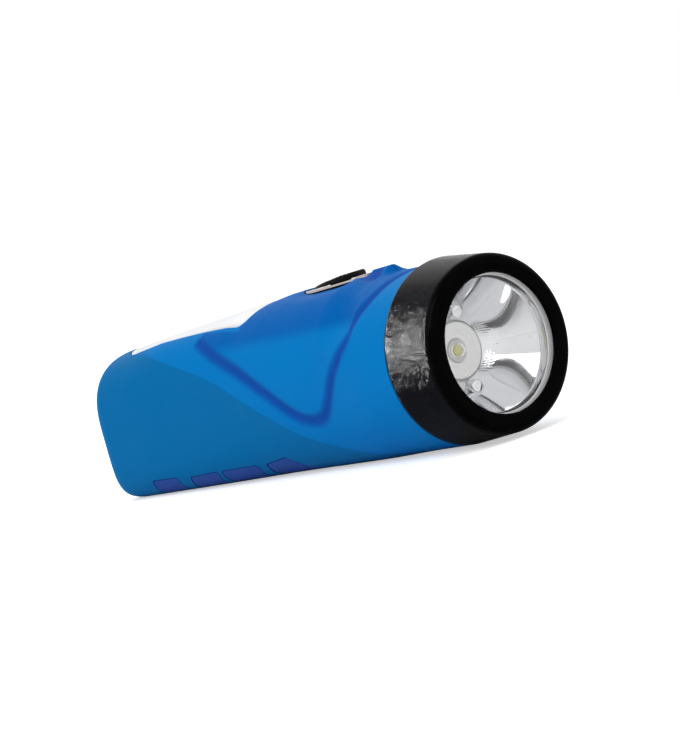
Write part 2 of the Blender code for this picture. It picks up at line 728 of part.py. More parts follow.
def shell_cutters():
    """What is cut from both shells."""
    made = [cavity()]
    made.append(prism("lens_opening", lens_plan(GAP), TOP_LENS_FLANGE_Z, BODY_HEIGHT + CUT_PAST))
    floor = -(PLATE_SINK + PLATE_THICKNESS + GAP)
    pocket = prism(
        "switch_pocket", oval(PLATE_LENGTH + PLATE_CLEARANCE * 2, PLATE_WIDTH + PLATE_CLEARANCE * 2), floor, CUT_PAST
    )
    made.append(on_switch(pocket))
    made.append(on_switch(prism("stem_slot", slot_outline(*stem_room()), -BODY_WALL - CUT_PAST, CUT_PAST)))
    flap_half = FLAP_WIDTH / 2 + FLAP_CLEARANCE
    made.append(box(
        "flap_recess", (TAIL_X - CUT_PAST, -flap_half, SOCKET_Z - FLAP_HEIGHT / 2 - FLAP_CLEARANCE),
        (FLAP_FLOOR_X, flap_half, FLAP_TOP_Z + FLAP_ANCHOR_HEIGHT + FLAP_CLEARANCE), corner=FLAP_CLEARANCE,
    ))
    tail_hole = TAIL_WALL + CUT_PAST * 2
    made.append(rod("socket_hole", SOCKET_NOSE_RADIUS + GAP, (TAIL_X - CUT_PAST, 0, SOCKET_Z), tail_hole))
    made.append(rod("light_hole", LIGHT_RADIUS + GAP, (TAIL_X - CUT_PAST, 0, LIGHT_Z), tail_hole, steps=12))
    made.append(rod(
        "stud_hole", FLAP_ANCHOR_STUD_RADIUS + GAP, (TAIL_X - CUT_PAST, 0, FLAP_TOP_Z + FLAP_ANCHOR_HEIGHT / 2),
        tail_hole, steps=12,
    ))
    for number, (x, z) in enumerate(CASE_SCREW_PLACES, 1):
        made.append(rod(
            f"screw_counterbore_{number}", CASE_SCREW_HEAD_RADIUS + GAP, (x, CASE_SCREW_SEAT, z), BODY_HALF_WIDTH,
            "Y", steps=12,
        ))
        end = (x, CASE_SCREW_SEAT - CASE_SCREW_LENGTH - GAP, z)
        made.append(rod(f"screw_hole_{number}", SCREW_RADIUS + GAP, end, CASE_SCREW_LENGTH + CUT_PAST, "Y", steps=8))
    return made


def groove_cutter(side, label):
    """The soft groove round the switch pod on one side."""
    shares = smooth_through([(*pair, 0) for pair in GROOVE_SHARES], GROOVE_STEPS)
    path = [
        side_point(TAIL_X + BODY_LENGTH * point.x, BODY_HEIGHT * point.y, side, GROOVE_RADIUS - GROOVE_DEPTH)
        for point in shares
    ]
    return curve_to_mesh(tube_along(f"groove_{label}", path, GROOVE_RADIUS, None, 1))


def grip_outline(number, out=0.0):
    corners = [
        (TAIL_X + BODY_LENGTH * along, BODY_HEIGHT * up) for along, up in GRIP_SHARES[number]
    ]
    return rounded(grown(corners, out), [GRIP_CORNER + out] * len(corners), 3)


def grip_prism(name, number, side, out=0.0):
    ends = sorted((side * (GRIP_INNER_Y - out), side * BODY_HALF_WIDTH * 2))
    return prism(name, grip_outline(number, out), *ends, along="Y")


def grip_pocket(number, side, label):
    """The pocket in a shell for one grip pad, a gap larger than the pad."""
    pocket = grip_prism(f"grip_pocket_{label}_{number + 1}", number, side, GAP)
    return combine(pocket, bpy.data.objects["grip_pocket_floor"])


# The parts

def shells():
    spigot = rod(
        "spigot", SPIGOT_RADIUS, (NECK_X - CUT_PAST, 0, AXIS_Z), SPIGOT_END - NECK_X + CUT_PAST, steps=RING_POINTS
    )
    body_form("grip_pocket_floor", GRIP_THICKNESS + GAP)
    shared = shell_cutters()
    for side, label in ((-1, "right"), (1, "left")):
        shell = body_form(f"{label}_shell", finish=BLUE)
        combine(shell, spigot, "UNION")
        ends = sorted((side * GAP / 2, side * BODY_HALF_WIDTH * 2))
        half = box(
            f"{label}_half", (TAIL_X - CUT_PAST, ends[0], -CUT_PAST), (FRONT_X, ends[1], BODY_HEIGHT + CUT_PAST)
        )
        combine(shell, half, "INTERSECT")
        for cutter in shared:
            combine(shell, cutter)
        combine(shell, groove_cutter(side, label))
        for number in range(len(GRIP_SHARES)):
            combine(shell, grip_pocket(number, side, label))


def grips():
    floor = body_form("grip_back", GRIP_THICKNESS)
    for side, label in ((-1, "right"), (1, "left")):
        for number in range(len(GRIP_SHARES)):
            name = f"{label}_grip_{number + 1}"
            pad = body_form(name, finish=INDIGO)
            combine(pad, grip_prism(f"{name}_outline", number, side), "INTERSECT")
            combine(pad, floor)


def screw(name, place, axis, head_radius, head_height, length, finish=STEEL):
    """A screw whose head's underside is at place. It points along the axis from there."""
    outline = [
        (0, length), (SCREW_RADIUS, length - SCREW_RADIUS), (SCREW_RADIUS, 0), (head_radius, 0),
        (head_radius, -head_height / 2), (head_radius * SCREW_HEAD_TOP_SHARE, -head_height), (0, -head_height),
    ]
    made = turned(name, outline, place, finish, SCREW_STEPS, axis)
    reach = head_radius + SCREW_SLOT_WIDTH
    for label, half in (("slot_a", (reach, SCREW_SLOT_WIDTH / 2)), ("slot_b", (SCREW_SLOT_WIDTH / 2, reach))):
        cut = box(
            f"{name}_{label}", (-half[0], -half[1], -head_height - CUT_PAST),
            (half[0], half[1], SCREW_SLOT_DEPTH - head_height),
        )
        cut.matrix_basis = made.matrix_basis @ cut.matrix_basis
        combine(made, cut)


def case_screws():
    for number, (x, z) in enumerate(CASE_SCREW_PLACES, 1):
        screw(
            f"case_screw_{number}", (x, CASE_SCREW_SEAT + GAP, z), "-Y",
            CASE_SCREW_HEAD_RADIUS, CASE_SCREW_HEAD_HEIGHT, CASE_SCREW_LENGTH - GAP,
        )


def bezel():
    arc = [
        (
            BEZEL_FRONT_RADIUS - BEZEL_ROUND * (1 - math.cos(math.pi / 2 * step / BEZEL_ARC_STEPS)),
            BEZEL_LENGTH - BEZEL_ROUND * (1 - math.sin(math.pi / 2 * step / BEZEL_ARC_STEPS)),
        )
        for step in range(BEZEL_ARC_STEPS, -1, -1)
    ]
    outline = [
        (BEZEL_OPENING + BEZEL_CHAMFER, BEZEL_LENGTH), *arc, (BEZEL_RADIUS, BEZEL_CHAMFER),
        (BEZEL_RADIUS - BEZEL_CHAMFER, 0), (BEZEL_BORE, 0), (BEZEL_BORE, BEZEL_LENGTH - BEZEL_LIP),
        (BEZEL_OPENING, BEZEL_LENGTH - BEZEL_LIP), (BEZEL_OPENING, BEZEL_LENGTH - BEZEL_CHAMFER),
    ]
    place = (NECK_X + GAP, 0, AXIS_Z)
    outline = [(radius, max(height - GAP, 0)) for radius, height in outline]
    turned("bezel_ring", outline, place, BLACK, BEZEL_STEPS, closed=True)


def window_stack():
    rod("head_window", WINDOW_RADIUS, (WINDOW_X, 0, AXIS_Z), WINDOW_THICKNESS, "X", CLEAR, REFLECTOR_STEPS)
    ring = [
        (WINDOW_RADIUS, GASKET_THICKNESS), (WINDOW_RADIUS, 0), (GASKET_OPENING, 0),
        (GASKET_OPENING, GASKET_THICKNESS),
    ]
    turned("window_gasket", ring, (GASKET_X, 0, AXIS_Z), SEAL, REFLECTOR_STEPS, closed=True)


def dish_radius(share):
    """The reflector's inner radius at a share of its depth, on a parabola."""
    return math.sqrt(REFLECTOR_BASE ** 2 + (REFLECTOR_MOUTH ** 2 - REFLECTOR_BASE ** 2) * share)


def reflector():
    flange_back = REFLECTOR_DEPTH - REFLECTOR_WALL
    skirt_bottom = REFLECTOR_DEPTH - REFLECTOR_SKIRT
    skirt_inside = WINDOW_RADIUS - REFLECTOR_SKIRT_WALL
    shares = [step / REFLECTOR_CURVE_STEPS for step in range(REFLECTOR_CURVE_STEPS + 1)]
    inside = [(dish_radius(share), REFLECTOR_DEPTH * share) for share in shares]
    outside = [
        (dish_radius(share) + REFLECTOR_WALL, REFLECTOR_DEPTH * share)
        for share in reversed(shares[::2]) if REFLECTOR_DEPTH * share < flange_back
    ]
    outline = [
        (WINDOW_RADIUS, REFLECTOR_DEPTH), (WINDOW_RADIUS, skirt_bottom), (skirt_inside, skirt_bottom),
        (skirt_inside, flange_back), (dish_radius(flange_back / REFLECTOR_DEPTH) + REFLECTOR_WALL, flange_back),
        *outside, (REFLECTOR_BASE + REFLECTOR_WALL, -REFLECTOR_COLLAR), (REFLECTOR_BASE, -REFLECTOR_COLLAR), *inside,
    ]
    dish = turned("reflector", outline, (REFLECTOR_X, 0, AXIS_Z), CHROME, REFLECTOR_STEPS, closed=True)
    boss_length = REFLECTOR_X + REFLECTOR_BOSS_RISE - SHOULDER_X
    for side, label in ((-1, "lower"), (1, "upper")):
        z = AXIS_Z + side * REFLECTOR_BOSS_REACH
        boss = rod(f"reflector_boss_{label}", REFLECTOR_BOSS_RADIUS, (SHOULDER_X, 0, z), boss_length, steps=16)
        combine(dish, boss, "UNION")
        hole = rod(
            f"reflector_boss_hole_{label}", SCREW_RADIUS + GAP, (HEAT_SINK_X, 0, z), SINK_SCREW_LENGTH, steps=12
        )
        combine(dish, hole)


def main_lamp():
    board = rod(
        "led_board", LAMP_BOARD_RADIUS, (LAMP_BOARD_X, 0, AXIS_Z), LAMP_BOARD_THICKNESS, "X", BOARD_WHITE, LAMP_STEPS
    )
    for side, label in ((-1, "lower"), (1, "upper")):
        place = (LAMP_BOARD_X - CUT_PAST, 0, AXIS_Z + side * REFLECTOR_BOSS_REACH)
        notch = rod(f"led_board_notch_{label}", REFLECTOR_BOSS_RADIUS + GAP, place, CUT_PAST * 2, steps=16)
        combine(board, notch)
    front = LAMP_BOARD_X + LAMP_BOARD_THICKNESS + GAP
    angles = [math.pi / 2 * step / LAMP_DOME_STEPS for step in range(LAMP_DOME_STEPS + 1)]
    dome = [
        (LAMP_DOME_RADIUS * math.sin(angle), LAMP_BASE_HEIGHT + LAMP_DOME_RADIUS * math.cos(angle))
        for angle in angles
    ]
    base = [(LAMP_BASE_RADIUS, LAMP_BASE_HEIGHT), (LAMP_BASE_RADIUS, 0), (0, 0)]
    turned("main_led", dome + base, (front, 0, AXIS_Z), PHOSPHOR)
    outer = REFLECTOR_BASE - GAP
    inner = LAMP_BASE_RADIUS + GAP
    rim_top = SPACER_THICKNESS + SPACER_RIM_HEIGHT
    ring = [
        (outer - SPACER_RIM, rim_top), (outer, rim_top), (outer, 0), (inner, 0), (inner, SPACER_THICKNESS / 2),
        (inner + SPACER_RIM, SPACER_THICKNESS), (outer - SPACER_RIM * 2, SPACER_THICKNESS),
    ]
    turned("led_spacer", ring, (front, 0, AXIS_Z), WHITE, LAMP_STEPS, closed=True)
    heat_sink()


def heat_sink():
    place = (HEAT_SINK_X, 0, AXIS_Z)
    sink = rod("heat_sink", HEAT_SINK_RADIUS, place, HEAT_SINK_THICKNESS, "X", ALLOY, REFLECTOR_STEPS)
    start = HEAT_SINK_X - CUT_PAST
    length = HEAT_SINK_THICKNESS + CUT_PAST * 2
    for side, label in ((-1, "right"), (1, "left")):
        lead = rod(f"sink_lead_hole_{label}", SINK_HOLE_RADIUS, (start, side * LAMP_LEAD_Y, AXIS_Z), length, steps=12)
        combine(sink, lead)
        place = (start, 0, AXIS_Z + side * REFLECTOR_BOSS_REACH)
        combine(sink, rod(f"sink_screw_hole_{label}", SCREW_RADIUS + GAP, place, length, steps=12))
    for number, side in enumerate((-1, 1), 1):
        screw(
            f"heat_sink_screw_{number}", (HEAT_SINK_X - GAP, 0, AXIS_Z + side * REFLECTOR_BOSS_REACH), "X",
            REFLECTOR_BOSS_RADIUS, SINK_SCREW_HEAD_HEIGHT, SINK_SCREW_LENGTH,
        )


def top_lens():
    lens = body_form("top_lens", finish=FROST)
    combine(lens, prism("lens_block", lens_plan(), TOP_LENS_FLANGE_Z, BODY_HEIGHT + CUT_PAST), "INTERSECT")
    flange_top = TOP_LENS_FLANGE_Z + TOP_LENS_FLANGE_THICKNESS
    flange = prism("lens_flange", lens_plan(TOP_LENS_FLANGE), TOP_LENS_FLANGE_Z, flange_top)
    combine(lens, flange, "UNION")
    hollow = body_form("lens_hollow", TOP_LENS_WALL)
    inside = prism("lens_inside", lens_plan(-TOP_LENS_WALL), TOP_LENS_FLANGE_Z - CUT_PAST, BODY_HEIGHT + CUT_PAST)
    combine(hollow, inside, "INTERSECT")
    combine(lens, hollow)


def top_lamp():
    top_lens()
    rim = TOP_LENS_FLANGE_Z - GAP
    tray = prism("lamp_tray", lens_plan(TOP_LENS_FLANGE), TRAY_Z, rim, finish=WHITE)
    floor = TRAY_Z + TRAY_WALL
    combine(tray, prism("tray_inside", lens_plan(TOP_LENS_FLANGE - TRAY_WALL), floor, rim + CUT_PAST))
    board_z = floor + GAP
    for side, label in ((-1, "right"), (1, "left")):
        y = side * TOP_LEAD_Y
        notch = box(
            f"tray_notch_{label}",
            (TOP_LAMP_FRONT - TOP_LEAD_FROM_FRONT, y - TRAY_NOTCH_HALF_WIDTH, board_z + TOP_BOARD_THICKNESS),
            (TOP_LAMP_FRONT + CUT_PAST, y + TRAY_NOTCH_HALF_WIDTH, rim + CUT_PAST),
        )
        combine(tray, notch)
    prism(
        "lamp_board", lens_plan(TOP_LENS_FLANGE - TRAY_WALL - GAP), board_z, board_z + TOP_BOARD_THICKNESS,
        finish=BOARD_WHITE,
    )
    led_z = board_z + TOP_BOARD_THICKNESS + GAP
    pitch = (TOP_LAMP_LENGTH - TOP_BOARD_MARGIN * 2) / TOP_LED_COUNT
    half = TOP_LED_SIZE / 2
    for number in range(TOP_LED_COUNT):
        x = TOP_LAMP_X + TOP_BOARD_MARGIN + pitch * (number + 0.5)
        box(
            f"top_led_{number + 1}", (x - half, -half, led_z), (x + half, half, led_z + TOP_LED_HEIGHT),
            PHOSPHOR, PART_EDGE,
        )


def switch():
    """The plate, the thumb slider with its stem, and the slide switch below."""
    plate_top = -PLATE_SINK
    plate = on_switch(prism(
        "switch_plate", oval(PLATE_LENGTH, PLATE_WIDTH), plate_top - PLATE_THICKNESS, plate_top, finish=SILVER
    ))
    bevel(plate, PLATE_THICKNESS / 3)
    room = stem_room()
    slot = prism("plate_slot", slot_outline(*room), plate_top - CUT_PAST, plate_top + CUT_PAST)
    combine(plate, on_switch(slot))
    under = plate_top + GAP
    low, high = plate_top + SLIDER_REAR_HEIGHT, plate_top + SLIDER_FRONT_HEIGHT
    half = SLIDER_LENGTH / 2
    past = half + PART_EDGE
    front_flat = half - SLIDER_FRONT_HEIGHT / 2
    profile = [
        (-past, under), (past, under), (past, (low + high) / 2), (front_flat, high), (half / 3, high), (-half, low),
        (-past, low),
    ]
    slider = prism("switch_slider", profile, -SLIDER_WIDTH, SLIDER_WIDTH, "Y", BLACK)
    outline = prism("slider_outline", oval(SLIDER_LENGTH, SLIDER_WIDTH), under - GAP, high + CUT_PAST)
    combine(slider, outline, "INTERSECT")
    for number in range(SLIDER_RIDGES):
        place = (
            front_flat - SLIDER_RIDGE_PITCH * (number + 0.5), -SLIDER_WIDTH,
            high + SLIDER_RIDGE_RADIUS - SLIDER_RIDGE_DEPTH,
        )
        groove = rod(f"slider_groove_{number + 1}", SLIDER_RIDGE_RADIUS, place, SLIDER_WIDTH * 2, "Y", steps=12)
        combine(slider, on_switch(groove))
    frame = switch_frame()
    stem_bottom = CASE_TOP + STEM_ABOVE_CASE - frame.translation.z
    stem = box(
        "slider_stem", (-STEM_LENGTH / 2, -STEM_WIDTH / 2, stem_bottom), (STEM_LENGTH / 2, STEM_WIDTH / 2, low),
    )
    combine(slider, on_switch(stem), "UNION")
    room_half = (TOGGLE_LENGTH / 2 + GAP, TOGGLE_WIDTH / 2 + GAP)
    socket = box(
        "stem_socket", (-room_half[0], -room_half[1], stem_bottom - CUT_PAST),
        (room_half[0], room_half[1], stem_bottom + TOGGLE_REACH + GAP),
    )
    combine(slider, on_switch(socket))
    on_switch(outline)
    on_switch(slider)
    slide_switch(frame, stem_bottom)


def slide_switch(frame, stem_bottom):
    """The case is centred under the toggle's foot, which the tilt moves along."""
    clear = CASE_SLOT_CLEARANCE
    foot_bottom = CASE_TOP - CASE_SLOT_DEPTH + clear - frame.translation.z
    middle = (frame @ Vector((0, 0, foot_bottom + TOGGLE_FOOT_HEIGHT / 2))).x
    case = box(
        "switch_case", (middle - CASE_LENGTH / 2, -CASE_WIDTH / 2, CASE_TOP - CASE_HEIGHT),
        (middle + CASE_LENGTH / 2, CASE_WIDTH / 2, CASE_TOP), STEEL, PART_EDGE,
    )
    slot_half = (TOGGLE_FOOT_LENGTH / 2 + SLIDER_TRAVEL + clear, TOGGLE_WIDTH / 2 + clear)
    slot = box(
        "case_slot", (middle - slot_half[0], -slot_half[1], CASE_TOP - CASE_SLOT_DEPTH),
        (middle + slot_half[0], slot_half[1], CASE_TOP + CUT_PAST),
    )
    combine(case, slot)
    toggle = box(
        "switch_toggle", (-TOGGLE_LENGTH / 2, -TOGGLE_WIDTH / 2, foot_bottom),
        (TOGGLE_LENGTH / 2, TOGGLE_WIDTH / 2, stem_bottom + TOGGLE_REACH), WHITE,
    )
    foot = box(
        "toggle_foot", (-TOGGLE_FOOT_LENGTH / 2, -TOGGLE_WIDTH / 2, foot_bottom),
        (TOGGLE_FOOT_LENGTH / 2, TOGGLE_WIDTH / 2, foot_bottom + TOGGLE_FOOT_HEIGHT),
    )
    combine(toggle, on_switch(foot), "UNION")
    on_switch(toggle)


def main_board():
    box(
        "main_board", (BOARD_REAR, -BOARD_HALF_WIDTH, BOARD_Z), (BOARD_FRONT, BOARD_HALF_WIDTH, BOARD_TOP),
        BOARD_GREEN,
    )
    seat = BOARD_TOP + GAP
    places = {
        name: (BOARD_REAR + BOARD_LENGTH * along, BOARD_HALF_WIDTH * across, seat)
        for name, (along, across) in PART_ON_BOARD_SHARES.items()
    }
    for name, radius, height, finish in (
        ("filter_capacitor", CAPACITOR_RADIUS, CAPACITOR_HEIGHT, CAN),
        ("driver_inductor", INDUCTOR_RADIUS, INDUCTOR_HEIGHT, CHIP),
    ):
        can = rod(name, radius, places[name], height, "Z", finish)
        bevel(can, PART_EDGE)
    for name in ("charge_chip", "driver_chip"):
        x, y, z = places[name]
        box(
            name, (x - CHIP_LENGTH / 2, y - CHIP_WIDTH / 2, z),
            (x + CHIP_LENGTH / 2, y + CHIP_WIDTH / 2, z + CHIP_HEIGHT), CHIP,
        )


def cell_and_cradle():
    outline = [
        (0, CELL_LENGTH + CELL_NUB_HEIGHT), (CELL_NUB_RADIUS, CELL_LENGTH + CELL_NUB_HEIGHT),
        (CELL_NUB_RADIUS, CELL_LENGTH), (CELL_RADIUS - PART_EDGE, CELL_LENGTH), (CELL_RADIUS, CELL_LENGTH - PART_EDGE),
        (CELL_RADIUS, PART_EDGE), (CELL_RADIUS - PART_EDGE, 0), (0, 0),
    ]
    turned("battery_cell", outline, (CELL_REAR, 0, CELL_Z), CELL_WRAP, CELL_STEPS)
    contact_room = CONTACT_THICKNESS + GAP * 2
    inside = (CELL_REAR - contact_room, CELL_FRONT + contact_room)
    rear, front = inside[0] - CRADLE_END_WALL, inside[1] + CRADLE_END_WALL
    half = CRADLE_HALF_WIDTH
    cradle = box("battery_cradle", (rear, -half, CRADLE_Z), (front, half, CRADLE_END_TOP), CRADLE_GREY)
    open_top = box("cradle_open_top", (inside[0], -half * 2, CRADLE_WALL_TOP), (inside[1], half * 2, CELL_Z * 2))
    combine(cradle, open_top)
    trough = rod(
        "cradle_trough", CELL_RADIUS + GAP, (inside[0], 0, CELL_Z), inside[1] - inside[0], steps=CELL_STEPS
    )
    combine(cradle, trough)
    foot = box(
        "cradle_foot", (rear, -CRADLE_FOOT_HALF_WIDTH, BODY_WALL + GAP),
        (front, CRADLE_FOOT_HALF_WIDTH, CRADLE_Z + PART_EDGE),
    )
    combine(cradle, foot, "UNION")
    for name, x in (
        ("positive_contact", CELL_FRONT + GAP), ("negative_contact", CELL_REAR - GAP - CONTACT_THICKNESS),
    ):
        box(
            name, (x, -CONTACT_WIDTH / 2, CONTACT_BOTTOM), (x + CONTACT_THICKNESS, CONTACT_WIDTH / 2, CONTACT_TOP),
            STEEL,
        )


def charge_port():
    """The socket, its flap and anchor, and the charge light, in the tail."""
    back = TAIL_X + TAIL_WALL + GAP
    socket = box(
        "charge_socket", (back, -SOCKET_WIDTH / 2, SOCKET_Z - SOCKET_HEIGHT / 2),
        (back + SOCKET_LENGTH, SOCKET_WIDTH / 2, SOCKET_Z + SOCKET_HEIGHT / 2), CHIP,
    )
    nose_x = FLAP_FLOOR_X + GAP
    combine(socket, rod(
        "socket_nose", SOCKET_NOSE_RADIUS, (nose_x, 0, SOCKET_Z), back - nose_x + SOCKET_LENGTH / 2,
    ), "UNION")
    pin_x = nose_x + SOCKET_BORE_DEPTH * (1 - SOCKET_PIN_SHARE) + FLAP_NUB_LENGTH
    pin = rod("socket_pin", SOCKET_PIN_RADIUS, (pin_x, 0, SOCKET_Z), SOCKET_BORE_DEPTH, steps=10)
    bore = rod("socket_bore", SOCKET_BORE, (nose_x - CUT_PAST, 0, SOCKET_Z), SOCKET_BORE_DEPTH + CUT_PAST)
    combine(bore, pin)
    combine(socket, bore)
    flap()
    outline = [
        (0, LIGHT_LENGTH), (LIGHT_RADIUS + LIGHT_FLANGE, LIGHT_LENGTH),
        (LIGHT_RADIUS + LIGHT_FLANGE, TAIL_WALL + GAP), (LIGHT_RADIUS, TAIL_WALL + GAP),
    ]
    outline += [(LIGHT_RADIUS * across, LIGHT_RADIUS * back) for across, back in LIGHT_DOME_SHARES]
    turned("charge_light", outline, (TAIL_X, 0, LIGHT_Z), RED_LENS, 16)


def flap():
    """The rubber flap turns about the top edge of its outer face. Its origin is on that line."""
    bottom, half = SOCKET_Z - FLAP_HEIGHT / 2, FLAP_WIDTH / 2
    cover_x = TAIL_X + FLAP_THICKNESS
    corners = [(-half, bottom), (half, bottom), (half, FLAP_TOP_Z - GAP), (-half, FLAP_TOP_Z - GAP)]
    plan = rounded(corners, (FLAP_CORNER, FLAP_CORNER, FINE_CORNER, FINE_CORNER), 4)
    cover = prism("charge_flap", plan, 0, FLAP_THICKNESS, "Y", RUBBER)
    nub = rod(
        "flap_nub", FLAP_NUB_RADIUS, (cover_x - PART_EDGE, 0, SOCKET_Z), FLAP_NUB_LENGTH + PART_EDGE, steps=16
    )
    turn = Matrix.Translation((TAIL_X, 0, 0)) @ Matrix.Rotation(-math.pi / 2, 4, "Z")
    hinge = Vector((TAIL_X, 0, FLAP_TOP_Z))
    cover.data.transform(Matrix.Translation(-hinge) @ turn)
    cover.location = hinge
    combine(cover, nub, "UNION")
    top = FLAP_TOP_Z + FLAP_ANCHOR_HEIGHT
    anchor = box("flap_anchor", (TAIL_X, -half, FLAP_TOP_Z), (cover_x, half, top), RUBBER)
    stud = rod(
        "anchor_stud", FLAP_ANCHOR_STUD_RADIUS, (cover_x - PART_EDGE, 0, FLAP_TOP_Z + FLAP_ANCHOR_HEIGHT / 2),
        TAIL_WALL, steps=12,
    )
    combine(anchor, stud, "UNION")


def leads():
    """Short wires between the pieces that they join, each a gap short of both."""
    board_under = BOARD_Z - GAP
    over_cell = CONTACT_TOP + GAP + LEAD_RADIUS * 2
    plus_x = CELL_FRONT + GAP + CONTACT_THICKNESS / 2
    minus_x = CELL_REAR - GAP - CONTACT_THICKNESS / 2
    tab_top = CONTACT_TOP + GAP
    wire("battery_positive_lead", [(plus_x, 0, tab_top), (plus_x, 0, board_under)], RED_WIRE)
    wire("battery_negative_lead", [
        (minus_x, 0, tab_top), (minus_x, 0, over_cell), (plus_x - LEAD_BEND * 3, 0, over_cell),
        (plus_x, LEAD_BEND, over_cell + LEAD_BEND), (plus_x, LEAD_BEND, board_under),
    ], BLACK_WIRE)
    socket_x = TAIL_X + TAIL_WALL + SOCKET_LENGTH + GAP * 2
    sink_x = HEAT_SINK_X + HEAT_SINK_THICKNESS
    tray_lead_z = TRAY_Z + TRAY_WALL + GAP * 2 + TOP_BOARD_THICKNESS + LEAD_RADIUS
    board_mid = (BOARD_Z + BOARD_TOP) / 2
    rise_x = BOARD_REAR + LEAD_BEND * 2
    for side, sign, finish in ((-1, "positive", RED_WIRE), (1, "negative", BLACK_WIRE)):
        run_y = side * CHARGE_LEAD_Y
        wire(f"charge_{sign}_lead", [
            (socket_x, side * LEAD_BEND / 2, SOCKET_Z), (socket_x + LEAD_BEND, side * LEAD_BEND, SOCKET_Z),
            (CELL_REAR - CRADLE_END_WALL, run_y, over_cell), (BOARD_REAR, run_y, over_cell),
            (rise_x, run_y, over_cell + LEAD_BEND), (rise_x, run_y, board_under),
        ], finish)
        lamp_y = side * LAMP_LEAD_Y
        wire(f"lamp_{sign}_lead", [
            (BOARD_FRONT + GAP, lamp_y, board_mid), (BOARD_FRONT + LEAD_BEND, lamp_y, board_mid),
            (HEAT_SINK_X - LEAD_BEND, lamp_y, AXIS_Z + LEAD_BEND / 2),
            (HEAT_SINK_X - LEAD_BEND / 2, lamp_y, AXIS_Z), (sink_x, lamp_y, AXIS_Z),
        ], finish)
        tray_y = side * TOP_LEAD_Y
        wire(f"top_lamp_{sign}_lead", [
            (BOARD_REAR - GAP, tray_y, board_mid), (BOARD_REAR - LEAD_BEND / 2, tray_y, board_mid),
            (BOARD_REAR - LEAD_BEND * 1.5, tray_y, tray_lead_z),
            (TOP_LAMP_FRONT - TOP_LEAD_FROM_FRONT, tray_y, tray_lead_z),
        ], finish)


def wire(name, points, finish):
    return tube_along(name, points, LEAD_RADIUS, finish, 1)


shells()
grips()
case_screws()
bezel()
window_stack()
reflector()
main_lamp()
top_lamp()
switch()
main_board()
cell_and_cradle()
charge_port()
leads()
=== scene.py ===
"""Looks of a torch with a second lamp on top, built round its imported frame.

Metres, +Z up, +X along the beam, the right side on -Y, as in the frame.
"""

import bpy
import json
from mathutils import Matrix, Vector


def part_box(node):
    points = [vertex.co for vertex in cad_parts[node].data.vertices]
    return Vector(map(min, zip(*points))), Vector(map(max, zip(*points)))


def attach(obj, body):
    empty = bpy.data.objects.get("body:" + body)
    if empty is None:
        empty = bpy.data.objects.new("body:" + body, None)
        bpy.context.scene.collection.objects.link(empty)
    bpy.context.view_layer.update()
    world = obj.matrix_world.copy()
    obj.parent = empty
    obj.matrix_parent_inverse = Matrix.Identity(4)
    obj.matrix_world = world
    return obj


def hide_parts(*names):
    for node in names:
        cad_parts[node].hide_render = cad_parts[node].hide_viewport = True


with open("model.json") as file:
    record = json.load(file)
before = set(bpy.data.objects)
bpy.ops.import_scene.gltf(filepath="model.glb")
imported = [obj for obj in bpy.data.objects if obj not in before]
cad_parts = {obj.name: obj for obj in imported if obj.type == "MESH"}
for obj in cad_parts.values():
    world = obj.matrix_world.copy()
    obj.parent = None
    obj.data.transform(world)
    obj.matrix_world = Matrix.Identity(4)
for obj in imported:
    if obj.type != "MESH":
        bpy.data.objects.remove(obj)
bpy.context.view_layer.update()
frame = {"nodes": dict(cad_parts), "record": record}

import json
import math

import bmesh
import bpy
import numpy as np
from mathutils import Matrix, Vector
from mathutils.kdtree import KDTree

# Sizes that the looks share with the solids
GAP = 0.0003
TAIL_X, NECK_X, FRONT_X = -0.0945, 0.075, 0.0945
BODY_LENGTH = NECK_X - TAIL_X
BODY_HALF_WIDTH, BODY_HEIGHT, BODY_UNDERCUT = 0.0259, 0.057, 0.0005
BODY_WALL, POD_EXTRA_WALL, TAIL_WALL = 0.0024, 0.0016, 0.004
TAIL_ROUND, TAIL_SIDE_ROUND, TAIL_TOP_ROUND, TAIL_FOOT_ROUND = 0.009, 0.0072, 0.0112, 0.0034
AXIS_Z = NECK_RADIUS = 0.028
NECK_DROP = 0.0015
WIDTH_SHARES = ((0, 0.965), (0.3, 0.98), (0.6, 1), (1, 1))
TOP_SHARES = ((0, 0.843), (0.474, 0.942), (0.522, 0.944), (0.583, 0.963), (0.879, 1), (1, 1))
TOP_SQUARENESS_SHARES = ((0, 2.8), (0.25, 3.6), (0.5, 2.35), (0.6, 2.15), (0.9, 2), (1, 2))
FOOT_SQUARENESS_SHARES = ((0, 5.5), (0.5, 2.8), (0.8, 2.4), (1, 2))
POD_WALL_SHARES = ((0, 0), (0.4, 0), (0.56, 1), (0.9, 1), (0.93, 0), (1, 0))
NECK_BLEND_SHARES = (0.76, 0.93)
POD_STEP_SHARES = (0.8775, 0.896)
SPIGOT_RADIUS, SPIGOT_BORE, SPIGOT_END, SHOULDER_X = 0.024, 0.022, 0.0845, 0.0706
LENS_REAR, LENS_FRONT, LENS_HALF_WIDTH, LENS_BOW = -0.0802, -0.0025, 0.0155, 0.004
LENS_BELLY = 0.0021
LENS_CORNERS = (0.011, 0.003, 0.036, 0.003, 0.011)
LENS_FLANGE, LENS_FLANGE_Z, LENS_FLANGE_THICKNESS, LENS_WALL = 0.0014, 0.0426, 0.0012, 0.0016
PLATE_LENGTH, PLATE_WIDTH, PLATE_THICKNESS, PLATE_SINK = 0.032, 0.015, 0.001, 0.0009
PLATE_RIM = 0.0004
SWITCH_X = 0.0282
SWITCH_TILT = -math.radians(2.4069)
SLOT_REACH, SLOT_HALF_WIDTH = 0.0065, 0.0025
SLIDER_LENGTH, SLIDER_WIDTH, SLIDER_REAR_HEIGHT, SLIDER_FRONT_HEIGHT = 0.0242, 0.0092, 0.0009, 0.00215
